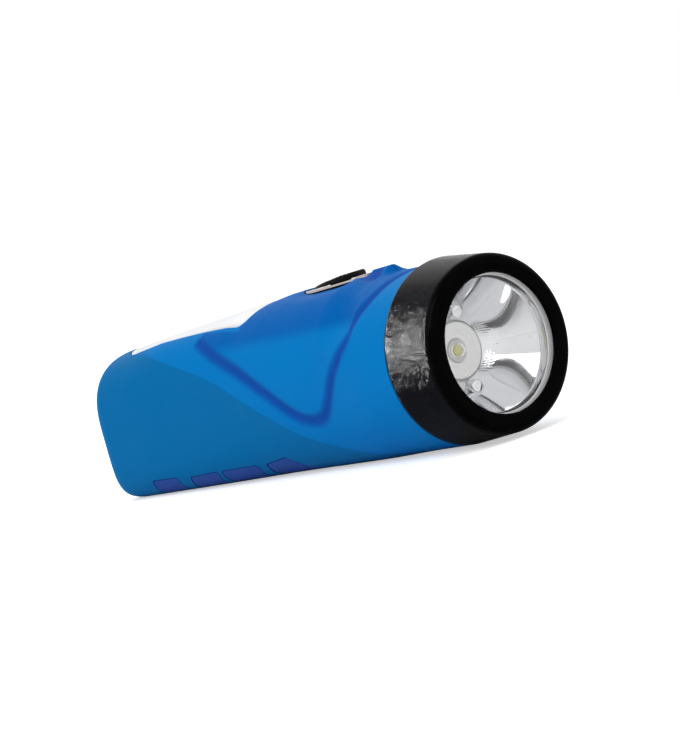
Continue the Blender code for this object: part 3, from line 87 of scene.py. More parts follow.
GRIP_THICKNESS = 0.0012
SCREWS = range(1, 5)
SCREW_HOLE, HEAD_WAY = 0.0015, 0.003
WINDOW_RADIUS, WINDOW_THICKNESS = 0.024, 0.0017
LAMP_SCREW_REACH = 0.0115
NEAR_AXIS = 0.0001
FLAP_HALF_WIDTH, FLAP_THICKNESS, FLAP_CLEARANCE = 0.0075, 0.0016, 0.0004

# Marks on the body's side, as shares of its length and height
GROOVE_SHARES = (
    (0.4032, 0.8308), (0.4655, 0.7424), (0.5494, 0.6217), (0.6099, 0.511), (0.6643, 0.3993),
    (0.6982, 0.3377), (0.7284, 0.3109), (0.752, 0.3093), (0.7743, 0.336), (0.7978, 0.405), (0.8172, 0.478),
    (0.836, 0.545), (0.855, 0.598), (0.8698, 0.65), (0.882, 0.705), (0.894, 0.762), (0.9055, 0.812),
    (0.9188, 0.8554), (0.928, 0.893), (0.9365, 0.925), (0.946, 0.943),
)
SWOOP_SHARES = (
    (0, 0.93), (0.12, 0.885), (0.239, 0.8116), (0.3516, 0.7168), (0.4538, 0.6138), (0.5393, 0.4762),
    (0.6192, 0.3445), (0.6912, 0.2206), (0.7564, 0.1389), (0.8062, 0.0734), (0.8323, 0.0496), (1, 0.0),
)
GRIP_SHARES = (
    ((0.1377, 0.005), (0.2265, 0.005), (0.2375, 0.103), (0.1535, 0.1025)),
    ((0.2517, 0.005), (0.3425, 0.005), (0.3685, 0.101), (0.279, 0.0915)),
    ((0.3602, 0.005), (0.4618, 0.005), (0.489, 0.101), (0.38, 0.0995)),
    ((0.4891, 0.005), (0.642, 0.004), (0.628, 0.021), (0.6105, 0.0475), (0.6025, 0.0745), (0.5846, 0.122),
     (0.5149, 0.098)),
)


# Meshes

def mesh_object(name, points, faces):
    mesh = bpy.data.meshes.new(name)
    mesh.from_pydata([tuple(point) for point in points], [], faces)
    made = bmesh.new()
    made.from_mesh(mesh)
    bmesh.ops.remove_doubles(made, verts=made.verts, dist=1e-7)
    bmesh.ops.recalc_face_normals(made, faces=made.faces)
    made.to_mesh(mesh)
    made.free()
    obj = bpy.data.objects.new(name, mesh)
    bpy.context.scene.collection.objects.link(obj)
    return obj


def loft(name, rings, ends_meet=False):
    """A skin over closed rings of equally many points, with a cap on each end unless the ends meet."""
    count, last = len(rings[0]), len(rings) - 1
    points = [point for ring in rings for point in ring]
    faces = []
    for a in range(len(rings) if ends_meet else last):
        b = (a + 1) % len(rings)
        for i in range(count):
            j = (i + 1) % count
            faces.append((a * count + i, a * count + j, b * count + j, b * count + i))
    if not ends_meet:
        faces.append(tuple(range(count)))
        faces.append(tuple(last * count + i for i in range(count)))
    return mesh_object(name, points, faces)


def circle(radius, steps):
    """Points of a circle about the origin, anticlockwise."""
    angles = [2 * math.pi * step / steps for step in range(steps)]
    return [(radius * math.cos(angle), radius * math.sin(angle)) for angle in angles]


def turned(name, outline, steps=128):
    """A solid turned about the beam's axis from a closed outline of (x, radius) points."""
    rings = [[(x, r * across, AXIS_Z + r * up) for x, r in outline] for across, up in circle(1, steps)]
    return loft(name, rings, ends_meet=True)


def corner_ways(corners):
    """Each corner, the directions to its neighbours and half the angle between them."""
    for i, corner in enumerate(corners):
        here = Vector(corner)
        to_last = (Vector(corners[i - 1]) - here).normalized()
        to_next = (Vector(corners[(i + 1) % len(corners)]) - here).normalized()
        yield here, to_last, to_next, to_last.angle(to_next) / 2


def filleted(corners, radii, steps=5):
    """A closed outline with each corner rounded by its radius."""
    made = []
    for radius, (here, to_last, to_next, half) in zip(radii, corner_ways(corners)):
        if radius < 1e-6 or half > math.pi / 2 - 1e-3:
            made.append(tuple(here))
            continue
        back = radius / math.tan(half)
        centre = here + (to_last + to_next).normalized() * (radius / math.sin(half))
        first, last = here + to_last * back - centre, here + to_next * back - centre
        start = math.atan2(first.y, first.x)
        sweep = (math.atan2(last.y, last.x) - start + math.pi) % (2 * math.pi) - math.pi
        for step in range(steps + 1):
            angle = start + sweep * step / steps
            made.append((centre.x + radius * math.cos(angle), centre.y + radius * math.sin(angle)))
    return made


def grown(corners, distance):
    """A polygon that runs anticlockwise, with its sides moved out by distance."""
    return [
        tuple(here - (to_last + to_next).normalized() * (distance / math.sin(half)))
        for here, to_last, to_next, half in corner_ways(corners)
    ]


def even(outline, count):
    """The closed outline as count points at equal distances."""
    points = np.array([*outline, outline[0]], float)
    runs = np.concatenate([[0], np.cumsum(np.linalg.norm(np.diff(points, axis=0), axis=1))])
    at = np.linspace(0, runs[-1], count, endpoint=False)
    return np.stack([np.interp(at, runs, points[:, i]) for i in range(points.shape[1])], 1)


def smooth_through(points, steps):
    """A smooth line through the points, with steps pieces from each to the next."""
    padded = [points[0], *points, points[-1]]
    made = []
    for i in range(len(points) - 1):
        a, b, c, d = (np.array(point, float) for point in padded[i:i + 4])
        for step in range(steps):
            t = step / steps
            made.append(b + (c - a) * (t / 2) + (a * 2 - b * 5 + c * 4 - d) * (t * t / 2)
                        + (b * 3 - a - c * 3 + d) * (t ** 3 / 2))
    made.append(np.array(points[-1], float))
    return np.array(made)


def rod(name, radius, start, length, axis="X", steps=48):
    turn = Matrix.Rotation(math.pi / 2, 4, "Y") if axis == "X" else Matrix.Rotation(-math.pi / 2, 4, "X")
    made = loft(name, [[(x, y, z) for x, y in circle(radius, steps)] for z in (0, length)])
    made.data.transform(Matrix.Translation(start) @ turn)
    return made


def block(name, low, high):
    ring = [(low[0], low[1]), (high[0], low[1]), (high[0], high[1]), (low[0], high[1])]
    return loft(name, [[(x, y, z) for x, y in ring] for z in (low[2], high[2])])


def prism(name, outline, low, high, rounding=0.0, steps=3):
    """An outline in XY carried from low to high, its rims rounded where rounding is set."""
    rings = [[(x, y, z) for x, y in outline] for z in (low, high)]
    if rounding:
        angles = [math.pi / 2 * step / steps for step in range(steps + 1)]
        levels = [(1 - math.sin(a), low + rounding * (1 - math.cos(a))) for a in angles]
        levels += [(1 - math.cos(a), high - rounding * (1 - math.sin(a))) for a in angles]
        rings = [[(x, y, z) for x, y in grown(outline, -rounding * inward)] for inward, z in levels]
    return loft(name, rings)


def halfway(ends):
    """The point halfway between two."""
    return (ends[0] + ends[1]) / 2


def carve(obj, cutters, operation="DIFFERENCE"):
    """Cuts each cutter from the object, or joins it, for good."""
    for cutter in cutters:
        made = obj.modifiers.new("carve", "BOOLEAN")
        made.operation = operation
        made.object = cutter
        made.solver = "EXACT"
    settle(obj)
    for cutter in cutters:
        bpy.data.objects.remove(cutter, do_unlink=True)
    return obj


def settle(obj):
    """Applies the object's modifiers and closes the mesh where they left a crack."""
    bpy.context.view_layer.update()
    graph = bpy.context.evaluated_depsgraph_get()
    mesh = bpy.data.meshes.new_from_object(obj.evaluated_get(graph))
    made = bmesh.new()
    made.from_mesh(mesh)
    bmesh.ops.remove_doubles(made, verts=made.verts, dist=1e-6)
    bmesh.ops.dissolve_degenerate(made, edges=made.edges, dist=1e-6)
    bmesh.ops.holes_fill(made, edges=[edge for edge in made.edges if edge.is_boundary])
    made.to_mesh(mesh)
    made.free()
    obj.modifiers.clear()
    obj.data = mesh
    return obj


def finish(obj, material, body="body", replaces=(), sharp=34):
    """Gives a piece its material, and says what carries it and which solids it stands for."""
    obj.data.materials.clear()
    obj.data.materials.append(material)
    obj.data.shade_smooth()
    obj.data.set_sharp_from_angle(angle=math.radians(sharp))
    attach(obj, body)
    if replaces:
        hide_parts(*replaces)
    return obj


# The body's form

def eased(share, start, end):
    """0 before start, 1 after end, and a smooth step between."""
    t = np.clip((share - start) / (end - start), 0, 1)
    return t * t * (3 - 2 * t)


def table(pairs, share):
    shares, values = zip(*pairs)
    return np.interp(share, shares, values)


def body_section(x, inset=0.0, tail_inset=0.0):
    """Half width, middle, top and foot of the body at x, and how square its halves are."""
    share = (x - TAIL_X) / BODY_LENGTH
    neck, step = eased(share, *NECK_BLEND_SHARES), eased(share, *POD_STEP_SHARES)
    half_width = BODY_HALF_WIDTH * table(WIDTH_SHARES, share)
    half_width = half_width + (NECK_RADIUS - half_width) * neck - inset
    foot = -BODY_UNDERCUT + (AXIS_Z - NECK_RADIUS + BODY_UNDERCUT) * neck
    top = BODY_HEIGHT * table(TOP_SHARES, share)
    top = top + (AXIS_Z + NECK_RADIUS - NECK_DROP - top) * step
    middle = (top + foot) / 2 + (AXIS_Z - (top + foot) / 2) * step
    top = top - inset - POD_EXTRA_WALL * table(POD_WALL_SHARES, share) * (inset / BODY_WALL)
    foot = foot + inset
    depth = np.clip((x - TAIL_X - tail_inset) / TAIL_ROUND, 0, 1)
    drawn_in = 1 - np.sqrt(np.clip(1 - (1 - depth) ** 2, 0, 1))
    half_width = half_width - TAIL_SIDE_ROUND * drawn_in
    top = top - TAIL_TOP_ROUND * drawn_in
    foot = foot + TAIL_FOOT_ROUND * drawn_in
    above, below = table(TOP_SQUARENESS_SHARES, share), table(FOOT_SQUARENESS_SHARES, share)
    return half_width, middle, top, foot, above, below


def body_points(x, angle, inset=0.0, tail_inset=0.0):
    """Points of the body's surface, from +Y at angle 0 over the top."""
    half_width, middle, top, foot, above, below = body_section(x, inset, tail_inset)
    across, up = np.cos(angle), np.sin(angle)
    power = np.where(up >= 0, above, below)
    height = np.where(up >= 0, top - middle, middle - foot)
    reach = ((np.abs(across) / half_width) ** power + (np.abs(up) / height) ** power) ** (-1 / power)
    return np.stack([x + 0 * reach, reach * across, np.maximum(middle + reach * up, inset)], -1)


def side_points(x, z, outward=0.0):
    """Points of the left side at x and z, moved outward."""
    half_width, middle, top, foot, above, below = body_section(x)
    power = np.where(z >= middle, above, below)
    height = np.where(z >= middle, top - middle, middle - foot)
    share = np.clip(np.abs(z - middle) / height, 0, 1)
    across = half_width * (1 - share ** power) ** (1 / power)
    slope_y = (across / half_width) ** (power - 1) / half_width
    slope_z = np.sign(z - middle) * share ** (power - 1) / height
    size = np.sqrt(slope_y ** 2 + slope_z ** 2) + 1e-12
    return np.stack([x + 0 * across, across + outward * slope_y / size, z + outward * slope_z / size], -1)


def crown(x, y):
    """Height of the body's upper surface at x and y."""
    half_width, middle, top, _, above, _ = body_section(x)
    share = np.clip(np.abs(y) / half_width, 0, 1)
    return middle + (top - middle) * (1 - share ** above) ** (1 / above)


def lens_plan(out=0.0, steps=10):
    """The top lens's outline from above, moved out. Its long sides swell a little."""
    corner_x = LENS_FRONT - LENS_BOW
    corners = [
        (LENS_REAR, -LENS_HALF_WIDTH), (corner_x, -LENS_HALF_WIDTH), (LENS_FRONT, 0),
        (corner_x, LENS_HALF_WIDTH), (LENS_REAR, LENS_HALF_WIDTH),
    ]
    plan = filleted(grown(corners, out), [radius + out for radius in LENS_CORNERS], steps)
    length = LENS_FRONT - LENS_REAR
    swell = [math.sin(math.pi * min(max((x - LENS_REAR) / length, 0), 1)) ** 1.5 for x, y in plan]
    return [(x, y * (1 + LENS_BELLY / LENS_HALF_WIDTH * more)) for (x, y), more in zip(plan, swell)]


def inside(polygon, x, y):
    """Where the points lie in the polygon."""
    found = np.zeros(x.shape, bool)
    for (x0, y0), (x1, y1) in zip(polygon, [*polygon[1:], polygon[0]]):
        crosses = (y0 > y) != (y1 > y)
        found ^= crosses & (x < (x1 - x0) * (y - y0) / (y1 - y0 + 1e-15) + x0)
    return found


# Relief of the body's side, and the shade painted on it

POD_FALL, RIDGE_DROP, SWITCH_DISH = 0.0027, 0.0009, 0.0008


def parted(points):
    """x, distance from the middle plane, and z."""
    return points[..., 0], np.abs(points[..., 1]), points[..., 2]


def pod_fall(points):
    """How far the pod's front falls away on both sides of its crest."""
    x, y, z = parted(points)
    before_step = 1 - eased((x - TAIL_X) / BODY_LENGTH, *POD_STEP_SHARES)
    fall = POD_FALL * eased(y, 0.0006, 0.0058) * eased(x, 0.0385, 0.051)
    return (fall + ridge_wall(x, y)) * before_step * eased(z, 0.036, 0.047)


def ridge_wall(x, y):
    """A steep edge along the crest, between the switch plate and the pod's front."""
    along = eased(x, 0.041, 0.0455) * (1 - eased(x, 0.0495, 0.0545))
    return RIDGE_DROP * eased(y, 0.0002, 0.0014) * (1 - eased(y, 0.0026, 0.0065)) * along


def switch_dish(points):
    """How far the body sinks beside the switch plate."""
    x, y, z = parted(points)
    along, across = (x - SWITCH_X) / 0.0168, y / 0.0079
    out = np.hypot(along, across)
    beside = eased(across / (out + 1e-9), 0.3, 0.9)
    deeper = 1 + 0.45 * eased(x, 0.029, 0.039)
    return SWITCH_DISH * deeper * beside * (1 - eased(out, 1.0, 1.7)) * eased(z, 0.044, 0.048)


GROOVE_WIDTH, GROOVE_DEPTH = 0.0027, 0.0006
SWOOP_FALL, SWOOP_RAMP, SWOOP_RIDGE = 0.0005, 0.0065, 0.00006

groove_line = smooth_through(GROOVE_SHARES, 14)
groove_xz = groove_line * (BODY_LENGTH, BODY_HEIGHT) + (TAIL_X, 0)
groove_path = side_points(groove_xz[:, 0], groove_xz[:, 1])
over_crown = np.linspace(groove_path[-1, 1], 0, 12)[1:]
crown_x = np.linspace(groove_path[-1, 0], TAIL_X + BODY_LENGTH * 0.958, 12)[1:]
groove_path = np.concatenate([groove_path, np.stack([crown_x, over_crown, crown(crown_x, over_crown)], 1)])
groove_path[:, 2] -= pod_fall(groove_path)
GROOVE_TREE = KDTree(len(groove_path))
for index, point in enumerate(groove_path):
    GROOVE_TREE.insert(point, index)
GROOVE_TREE.balance()
POD_POLYGON = [tuple(point) for point in groove_xz] + [(0.058, 0.07), (-0.03, 0.07)]


def to_groove(points):
    flat = points.reshape(-1, 3)
    found = [GROOVE_TREE.find(Vector((x, abs(y), z)))[2] for x, y, z in flat]
    return np.array(found).reshape(points.shape[:-1])


def off_rim(points):
    """0 on the plain rim beside the top lens, 1 away from it."""
    x, y, _ = parted(points)
    rim = 0.0006 + 0.0012 * eased(x, -0.04, -0.005)
    beside = eased(y - LENS_HALF_WIDTH - rim, 0.0, 0.0005)
    return np.maximum(beside, eased(x, LENS_FRONT - LENS_BOW - 0.001, LENS_FRONT - LENS_BOW + 0.001))


def below_swoop(points):
    """How far the points lie under the swoop's line, in metres."""
    x, _, z = parted(points)
    share = (x - TAIL_X) / BODY_LENGTH
    line = smooth_through(SWOOP_SHARES, 8)
    height = np.interp(share, line[:, 0], line[:, 1]) * BODY_HEIGHT
    slope = np.gradient(line[:, 1] * BODY_HEIGHT, line[:, 0] * BODY_LENGTH)
    return (height - z) / np.sqrt(1 + np.interp(share, line[:, 0], slope) ** 2)


def relief(points):
    """How deep the surface sinks at the points."""
    x, _, z = parted(points)
    groove = GROOVE_DEPTH * (1 - eased(to_groove(points), 0.0001, GROOVE_WIDTH)) * off_rim(points)
    under = below_swoop(points)
    soft = eased(x, -0.07, -0.045)
    low = eased(z, 0.004, 0.015)
    fall = SWOOP_FALL * np.clip(under / SWOOP_RAMP, 0, 1) * soft * low
    ridge = SWOOP_RIDGE * np.exp(-(under / 0.0006) ** 2) * soft * low
    return groove + fall - ridge + np.maximum(pod_fall(points), switch_dish(points))


def painted_shade_masks(points):
    """Masks where shade is painted on the side: the groove and the crest's steep wall, the part under the
    swoop, and the pod's upper part.
    """
    x, y, z = parted(points)
    # Painted shade: the groove is coloured darker where its hollow lies in shade.
    groove = (1 - eased(to_groove(points), 0.0006, 0.0034)) * off_rim(points)
    # Painted shade: the crest's steep wall by the switch plate is darkened where it lies in shadow.
    wall = eased(ridge_wall(x, y), 0.0, 0.0005)
    groove = np.maximum(groove, wall * eased(z, 0.04, 0.05))
    # Painted shade: the side under the swoop's crease faces down and is coloured darker.
    edge = 0.0002 + 0.0035 * (1 - eased(x, -0.075, -0.05))
    under = eased(below_swoop(points), -edge, edge)
    # Painted shade: the pod's upper part by the switch is coloured darker where it leans away from the light.
    pod = inside(POD_POLYGON, x, z) * off_rim(points) * eased(z, 0.0415, 0.0465)
    return {"groove": groove, "shade_under_swoop": under, "pod": pod}


# Finishes

def place(tree, kind, inputs=(), **settings):
    """A node with its settings, and its inputs set or linked."""
    made = tree.nodes.new(kind)
    for name, value in settings.items():
        setattr(made, name, value)
    for key, value in dict(inputs).items():
        if isinstance(value, bpy.types.NodeSocket):
            tree.links.new(value, made.inputs[key])
        else:
            made.inputs[key].default_value = value
    return made


def calc(tree, operation, *values):
    """What a Math node makes of numbers and links."""
    return place(tree, "ShaderNodeMath", dict(enumerate(values)), operation=operation).outputs[0]


def group(name, inputs, outputs):
    tree = bpy.data.node_groups.new(name, "ShaderNodeTree")
    for label, value in inputs.items():
        made = tree.interface.new_socket(label, in_out="INPUT", socket_type="NodeSocketFloat")
        made.default_value = value
    for label in outputs:
        tree.interface.new_socket(label, in_out="OUTPUT", socket_type="NodeSocketFloat")
    return tree, tree.nodes.new("NodeGroupInput").outputs, tree.nodes.new("NodeGroupOutput").inputs


def object_place(tree):
    return place(tree, "ShaderNodeTexCoord").outputs["Object"]


def moulded_grain():
    """Fine dimples of a moulded surface, as a height."""
    tree, given, out = group("moulded_grain", {"Scale": 2600.0, "Detail": 3.0}, ["Height"])
    where = object_place(tree)
    coarse = place(
        tree, "ShaderNodeTexNoise", {"Vector": where, "Scale": given["Scale"], "Detail": given["Detail"]}
    )
    cells = place(
        tree, "ShaderNodeTexVoronoi", {"Vector": where, "Scale": given["Scale"]}, feature="SMOOTH_F1"
    )
    tree.links.new(calc(tree, "ADD", coarse.outputs[0], cells.outputs[0]), out["Height"])
    return tree


def leather_grain():
    """Raised islands with fine creases between them, as a height."""
    tree, given, out = group("leather_grain", {"Scale": 1500.0}, ["Height"])
    where = object_place(tree)
    bend = place(tree, "ShaderNodeTexNoise", {"Vector": where, "Scale": given["Scale"], "Detail": 2.0})
    warp = place(tree, "ShaderNodeVectorMath", {0: bend.outputs["Color"], 3: 0.0004}, operation="SCALE")
    moved = place(tree, "ShaderNodeVectorMath", {0: where, 1: warp.outputs[0]}, operation="ADD")
    cells = place(
        tree, "ShaderNodeTexVoronoi", {"Vector": moved.outputs[0], "Scale": given["Scale"]},
        feature="DISTANCE_TO_EDGE",
    )
    raised = place(
        tree, "ShaderNodeMapRange", {0: cells.outputs[0], 1: 0.0, 2: 0.25}, interpolation_type="SMOOTHSTEP"
    )
    fine = place(tree, "ShaderNodeTexNoise", {"Vector": where, "Scale": 2300.0, "Detail": 1.0})
    both = calc(tree, "MULTIPLY_ADD", fine.outputs[0], 0.8, raised.outputs[0])
    tree.links.new(both, out["Height"])
    return tree


def patchiness():
    """A slow variation between two values."""
    tree, given, out = group("patchiness", {"Scale": 90.0, "Low": 0.0, "High": 1.0}, ["Value"])
    where = object_place(tree)
    noise = place(tree, "ShaderNodeTexNoise", {"Vector": where, "Scale": given["Scale"], "Detail": 4.0})
    spread = place(
        tree, "ShaderNodeMapRange", {0: noise.outputs[0], 1: 0.3, 2: 0.7, 3: given["Low"], 4: given["High"]}
    )
    tree.links.new(spread.outputs[0], out["Value"])
    return tree


def turning_marks():
    """Fine rings round the beam's axis, as a height."""
    tree, given, out = group("turning_marks", {"Rings": 3500.0}, ["Height"])
    where = object_place(tree)
    centred = place(tree, "ShaderNodeVectorMath", {0: where, 1: (0, 0, AXIS_Z)}, operation="SUBTRACT")
    flat = place(tree, "ShaderNodeVectorMath", {0: centred.outputs[0], 1: (0, 1, 1)}, operation="MULTIPLY")
    far = place(tree, "ShaderNodeVectorMath", {0: flat.outputs[0]}, operation="LENGTH")
    turns = calc(tree, "MULTIPLY", far.outputs["Value"], given["Rings"])
    noise = place(
        tree, "ShaderNodeTexNoise", {"W": turns, "Scale": 1.0, "Detail": 2.0}, noise_dimensions="1D"
    )
    tree.links.new(noise.outputs[0], out["Height"])
    return tree


GROUPS = {made.name: made for made in (moulded_grain(), leather_grain(), patchiness(), turning_marks())}


def use(tree, name, **values):
    return place(tree, "ShaderNodeGroup", values, node_tree=GROUPS[name]).outputs[0]


def srgb(red, green, blue):
    """A display colour, 0 to 255, as the shader's linear colour."""
    made = [
        value / 255 / 12.92 if value < 10.3 else ((value / 255 + 0.055) / 1.055) ** 2.4
        for value in (red, green, blue)
    ]
    return (*made, 1.0)


def shaded(name, colour, roughness, metallic=0.0, **sockets):
    """A material and its Principled shader, with plain values on their sockets."""
    made = bpy.data.materials.new(name)
    made.use_nodes = True
    shader = made.node_tree.nodes["Principled BSDF"]
    shader.inputs["Base Color"].default_value = colour
    shader.inputs["Roughness"].default_value = roughness
    shader.inputs["Metallic"].default_value = metallic
    for label, value in sockets.items():
        shader.inputs[label.replace("_", " ")].default_value = value
    made.diffuse_color = colour
    return made, made.node_tree, shader


def link_bump(tree, shader, height, strength, distance=0.00005):
    bump = place(tree, "ShaderNodeBump", {"Height": height, "Strength": strength, "Distance": distance})
    tree.links.new(bump.outputs[0], shader.inputs["Normal"])


def varied(tree, shader, colour, other, scale=60.0):
    """Base colour that drifts slightly to another."""
    drift = use(tree, "patchiness", Scale=scale, Low=0.0, High=1.0)
    mixed = place(tree, "ShaderNodeMix", {0: drift, 6: colour, 7: other}, data_type="RGBA")
    tree.links.new(mixed.outputs[2], shader.inputs["Base Color"])
    return mixed


def uneven_gloss(tree, shader, scale, low, high):
    gloss = use(tree, "patchiness", Scale=scale, Low=low, High=high)
    tree.links.new(gloss, shader.inputs["Roughness"])


def plastic(name, colour, roughness, grain=2600.0, strength=0.25, metallic=0.0, **sockets):
    """A moulded or coated finish with fine grain and slightly uneven gloss and colour."""
    made, tree, shader = shaded(name, colour, roughness, metallic, **sockets)
    varied(tree, shader, colour, (*[value * 0.93 for value in colour[:3]], 1))
    uneven_gloss(tree, shader, 140.0, roughness - 0.05, roughness + 0.05)
    link_bump(tree, shader, use(tree, "moulded_grain", Scale=grain), strength)
    return made


def blue_shell():
    colour = srgb(0, 120, 193)
    made, tree, shader = shaded("blue_abs", colour, 0.55, Specular_IOR_Level=0.02)
    mixed = varied(tree, shader, colour, srgb(0, 117, 190), 45.0).outputs[2]
    # Painted shade: darker blues in the groove and on the crest's wall, under the swoop, and on the pod's
    # upper part.
    for mask, shaded_colour in (("shade_under_swoop", (0, 107, 168)), ("pod", (0, 95, 174)), ("groove", (14, 76, 162))):
        amount = place(tree, "ShaderNodeAttribute", attribute_name=mask).outputs["Fac"]
        given = {0: amount, 6: mixed, 7: srgb(*shaded_colour)}
        mixed = place(tree, "ShaderNodeMix", given, data_type="RGBA").outputs[2]
    tree.links.new(mixed, shader.inputs["Base Color"])
    uneven_gloss(tree, shader, 120.0, 0.46, 0.54)
    link_bump(tree, shader, use(tree, "moulded_grain", Scale=3200.0), 0.12)
    return made


def bezel_black():
    """Grained on the cylinder, and glossy on the rounded nose and the front."""
    colour = srgb(1, 1, 2)
    made, tree, shader = shaded("black_gloss_abs", colour, 0.12, Specular_IOR_Level=0.018)
    where = place(tree, "ShaderNodeSeparateXYZ", {0: object_place(tree)})
    ramp = {0: where.outputs[0], 1: FRONT_X - 0.0026, 2: FRONT_X - 0.002}
    nose = place(tree, "ShaderNodeMapRange", ramp)
    side = calc(tree, "SUBTRACT", 1.0, nose.outputs[0])
    height = calc(tree, "MULTIPLY", use(tree, "leather_grain", Scale=1700.0), side)
    link_bump(tree, shader, height, 0.6, 0.00008)
    rough = place(tree, "ShaderNodeMapRange", {0: side, 3: 0.07, 4: 0.085})
    tree.links.new(rough.outputs[0], shader.inputs["Roughness"])
    varied(tree, shader, colour, srgb(3, 3, 4), 200.0)
    return made


def chrome():
    made, tree, shader = shaded("vapour_chrome", (0.78, 0.785, 0.8, 1), 0.05, 1.0)
    uneven_gloss(tree, shader, 260.0, 0.03, 0.075)
    varied(tree, shader, (0.79, 0.795, 0.81, 1), (0.74, 0.745, 0.765, 1), 120.0)
    link_bump(tree, shader, use(tree, "turning_marks", Rings=3000.0), 0.03, 0.00002)
    return made


def clear(name, colour=(1, 1, 1, 1), roughness=0.0):
    """Clear plastic that lets lamp light through to what lies behind it."""
    made, tree, shader = shaded(name, colour, roughness, Transmission_Weight=1.0, IOR=1.45)
    link_bump(tree, shader, use(tree, "moulded_grain", Scale=400.0), 0.01)
    path = place(tree, "ShaderNodeLightPath").outputs
    either = calc(tree, "MAXIMUM", path["Is Shadow Ray"], path["Is Diffuse Ray"])
    through = place(tree, "ShaderNodeBsdfTransparent", {"Color": colour})
    mixed = place(
        tree, "ShaderNodeMixShader", {0: either, 1: shader.outputs[0], 2: through.outputs[0]}
    )
    tree.links.new(mixed.outputs[0], tree.nodes["Material Output"].inputs["Surface"])
    return made


def frosted():
    colour = srgb(229, 231, 234)
    made, tree, shader = shaded("frosted_lens", colour, 0.38, Transmission_Weight=0.0, Coat_Weight=0.15)
    shader.inputs["Subsurface Weight"].default_value = 0.35
    shader.inputs["Subsurface Radius"].default_value = (0.004, 0.004, 0.004)
    shader.inputs["Subsurface Scale"].default_value = 1.0
    varied(tree, shader, colour, srgb(224, 227, 231), 30.0)
    uneven_gloss(tree, shader, 90.0, 0.34, 0.42)
    link_bump(tree, shader, use(tree, "moulded_grain", Scale=2200.0), 0.1)
    return made


def board(name, colour, track):
    """A circuit board: solder mask with faint tracks and its weave below."""
    made, tree, shader = shaded(name, colour, 0.35)
    where = object_place(tree)
    cells = place(
        tree, "ShaderNodeTexVoronoi", {"Vector": where, "Scale": 420.0, "Randomness": 0.7},
        distance="CHEBYCHEV", feature="DISTANCE_TO_EDGE",
    )
    lines = calc(tree, "LESS_THAN", cells.outputs[0], 0.06)
    mixed = place(tree, "ShaderNodeMix", {0: lines, 6: colour, 7: track}, data_type="RGBA")
    tree.links.new(mixed.outputs[2], shader.inputs["Base Color"])
    link_bump(tree, shader, lines, 0.4, 0.00004)
    uneven_gloss(tree, shader, 300.0, 0.28, 0.42)
    return made


BLUE = blue_shell()
INDIGO = plastic("indigo_rubber", srgb(38, 79, 160), 0.62, 2000.0, 0.3, Specular_IOR_Level=0.08)
BEZEL = bezel_black()
BLACK = plastic("black_slider", srgb(4, 4, 5), 0.34, 2400.0, 0.2, Specular_IOR_Level=0.07)
WINDOW = clear("clear_window")
DOME = clear("clear_dome", (1, 1, 0.98, 1))
SEAL = plastic("pale_seal", srgb(240, 240, 241), 0.5)
# Painted shade: a black layer under the switch plate stands in for the shadow in the gap under its rim.
BLACK_SHADE_LAYER = plastic("black_shade_layer", srgb(8, 8, 9), 0.6, Specular_IOR_Level=0.08)
CHROME = chrome()
PHOSPHOR = plastic("lamp_phosphor", srgb(232, 228, 150), 0.4, 5000.0, 0.2)
WHITE = plastic("white_plastic", srgb(233, 233, 231), 0.35, 1800.0, 0.12)
# Painted light: the white disc round the lamp glows faintly though it is no lamp, brightening the dish's
# inside.
GLOWING_DISC = plastic(
    "white_disc_painted_glow", srgb(244, 244, 244), 0.4, 1800.0, 0.12,
    Emission_Color=(1, 1, 1, 1), Emission_Strength=0.14,
)
BOARD_WHITE = board("white_board", srgb(226, 228, 226), srgb(206, 209, 208))
ALLOY = plastic("aluminium", (0.68, 0.69, 0.7, 1), 0.38, 1600.0, 0.3, metallic=1.0)
FROST = frosted()
SILVER = plastic("silver_plate", srgb(196, 190, 184), 0.32, 2800.0, 0.15, metallic=0.75)
BOARD_GREEN = board("green_board", (0.01, 0.13, 0.05, 1), (0.03, 0.22, 0.1, 1))
CHIP = plastic("chip_black", srgb(32, 32, 34), 0.5)
CAN = plastic("capacitor_sleeve", srgb(28, 38, 70), 0.35)
STEEL = plastic("bright_steel", (0.6, 0.6, 0.6, 1), 0.25, 1200.0, 0.15, metallic=1.0)
CELL_WRAP = plastic("cell_wrap", srgb(64, 128, 88), 0.4)
CRADLE_GREY = plastic("cradle_grey", srgb(122, 122, 125), 0.55)
RUBBER = plastic("black_rubber", srgb(30, 30, 32), 0.7, 1800.0, 0.4)
RED_LENS = clear("red_light", (0.85, 0.08, 0.05, 1), 0.1)
RED_WIRE = plastic("red_wire", srgb(180, 28, 26), 0.45)
BLACK_WIRE = plastic("black_wire", srgb(38, 38, 38), 0.45)


# The two shells

OUTSIDE = 0.05
ON_TAIL = Matrix(((0, 0, 1, 0), (1, 0, 0, 0), (0, 1, 0, 0), (0, 0, 0, 1)))


def spigot_ring(x, radius, angles):
    return np.stack([x + 0 * angles, radius * np.cos(angles), AXIS_Z + radius * np.sin(angles)], 1)


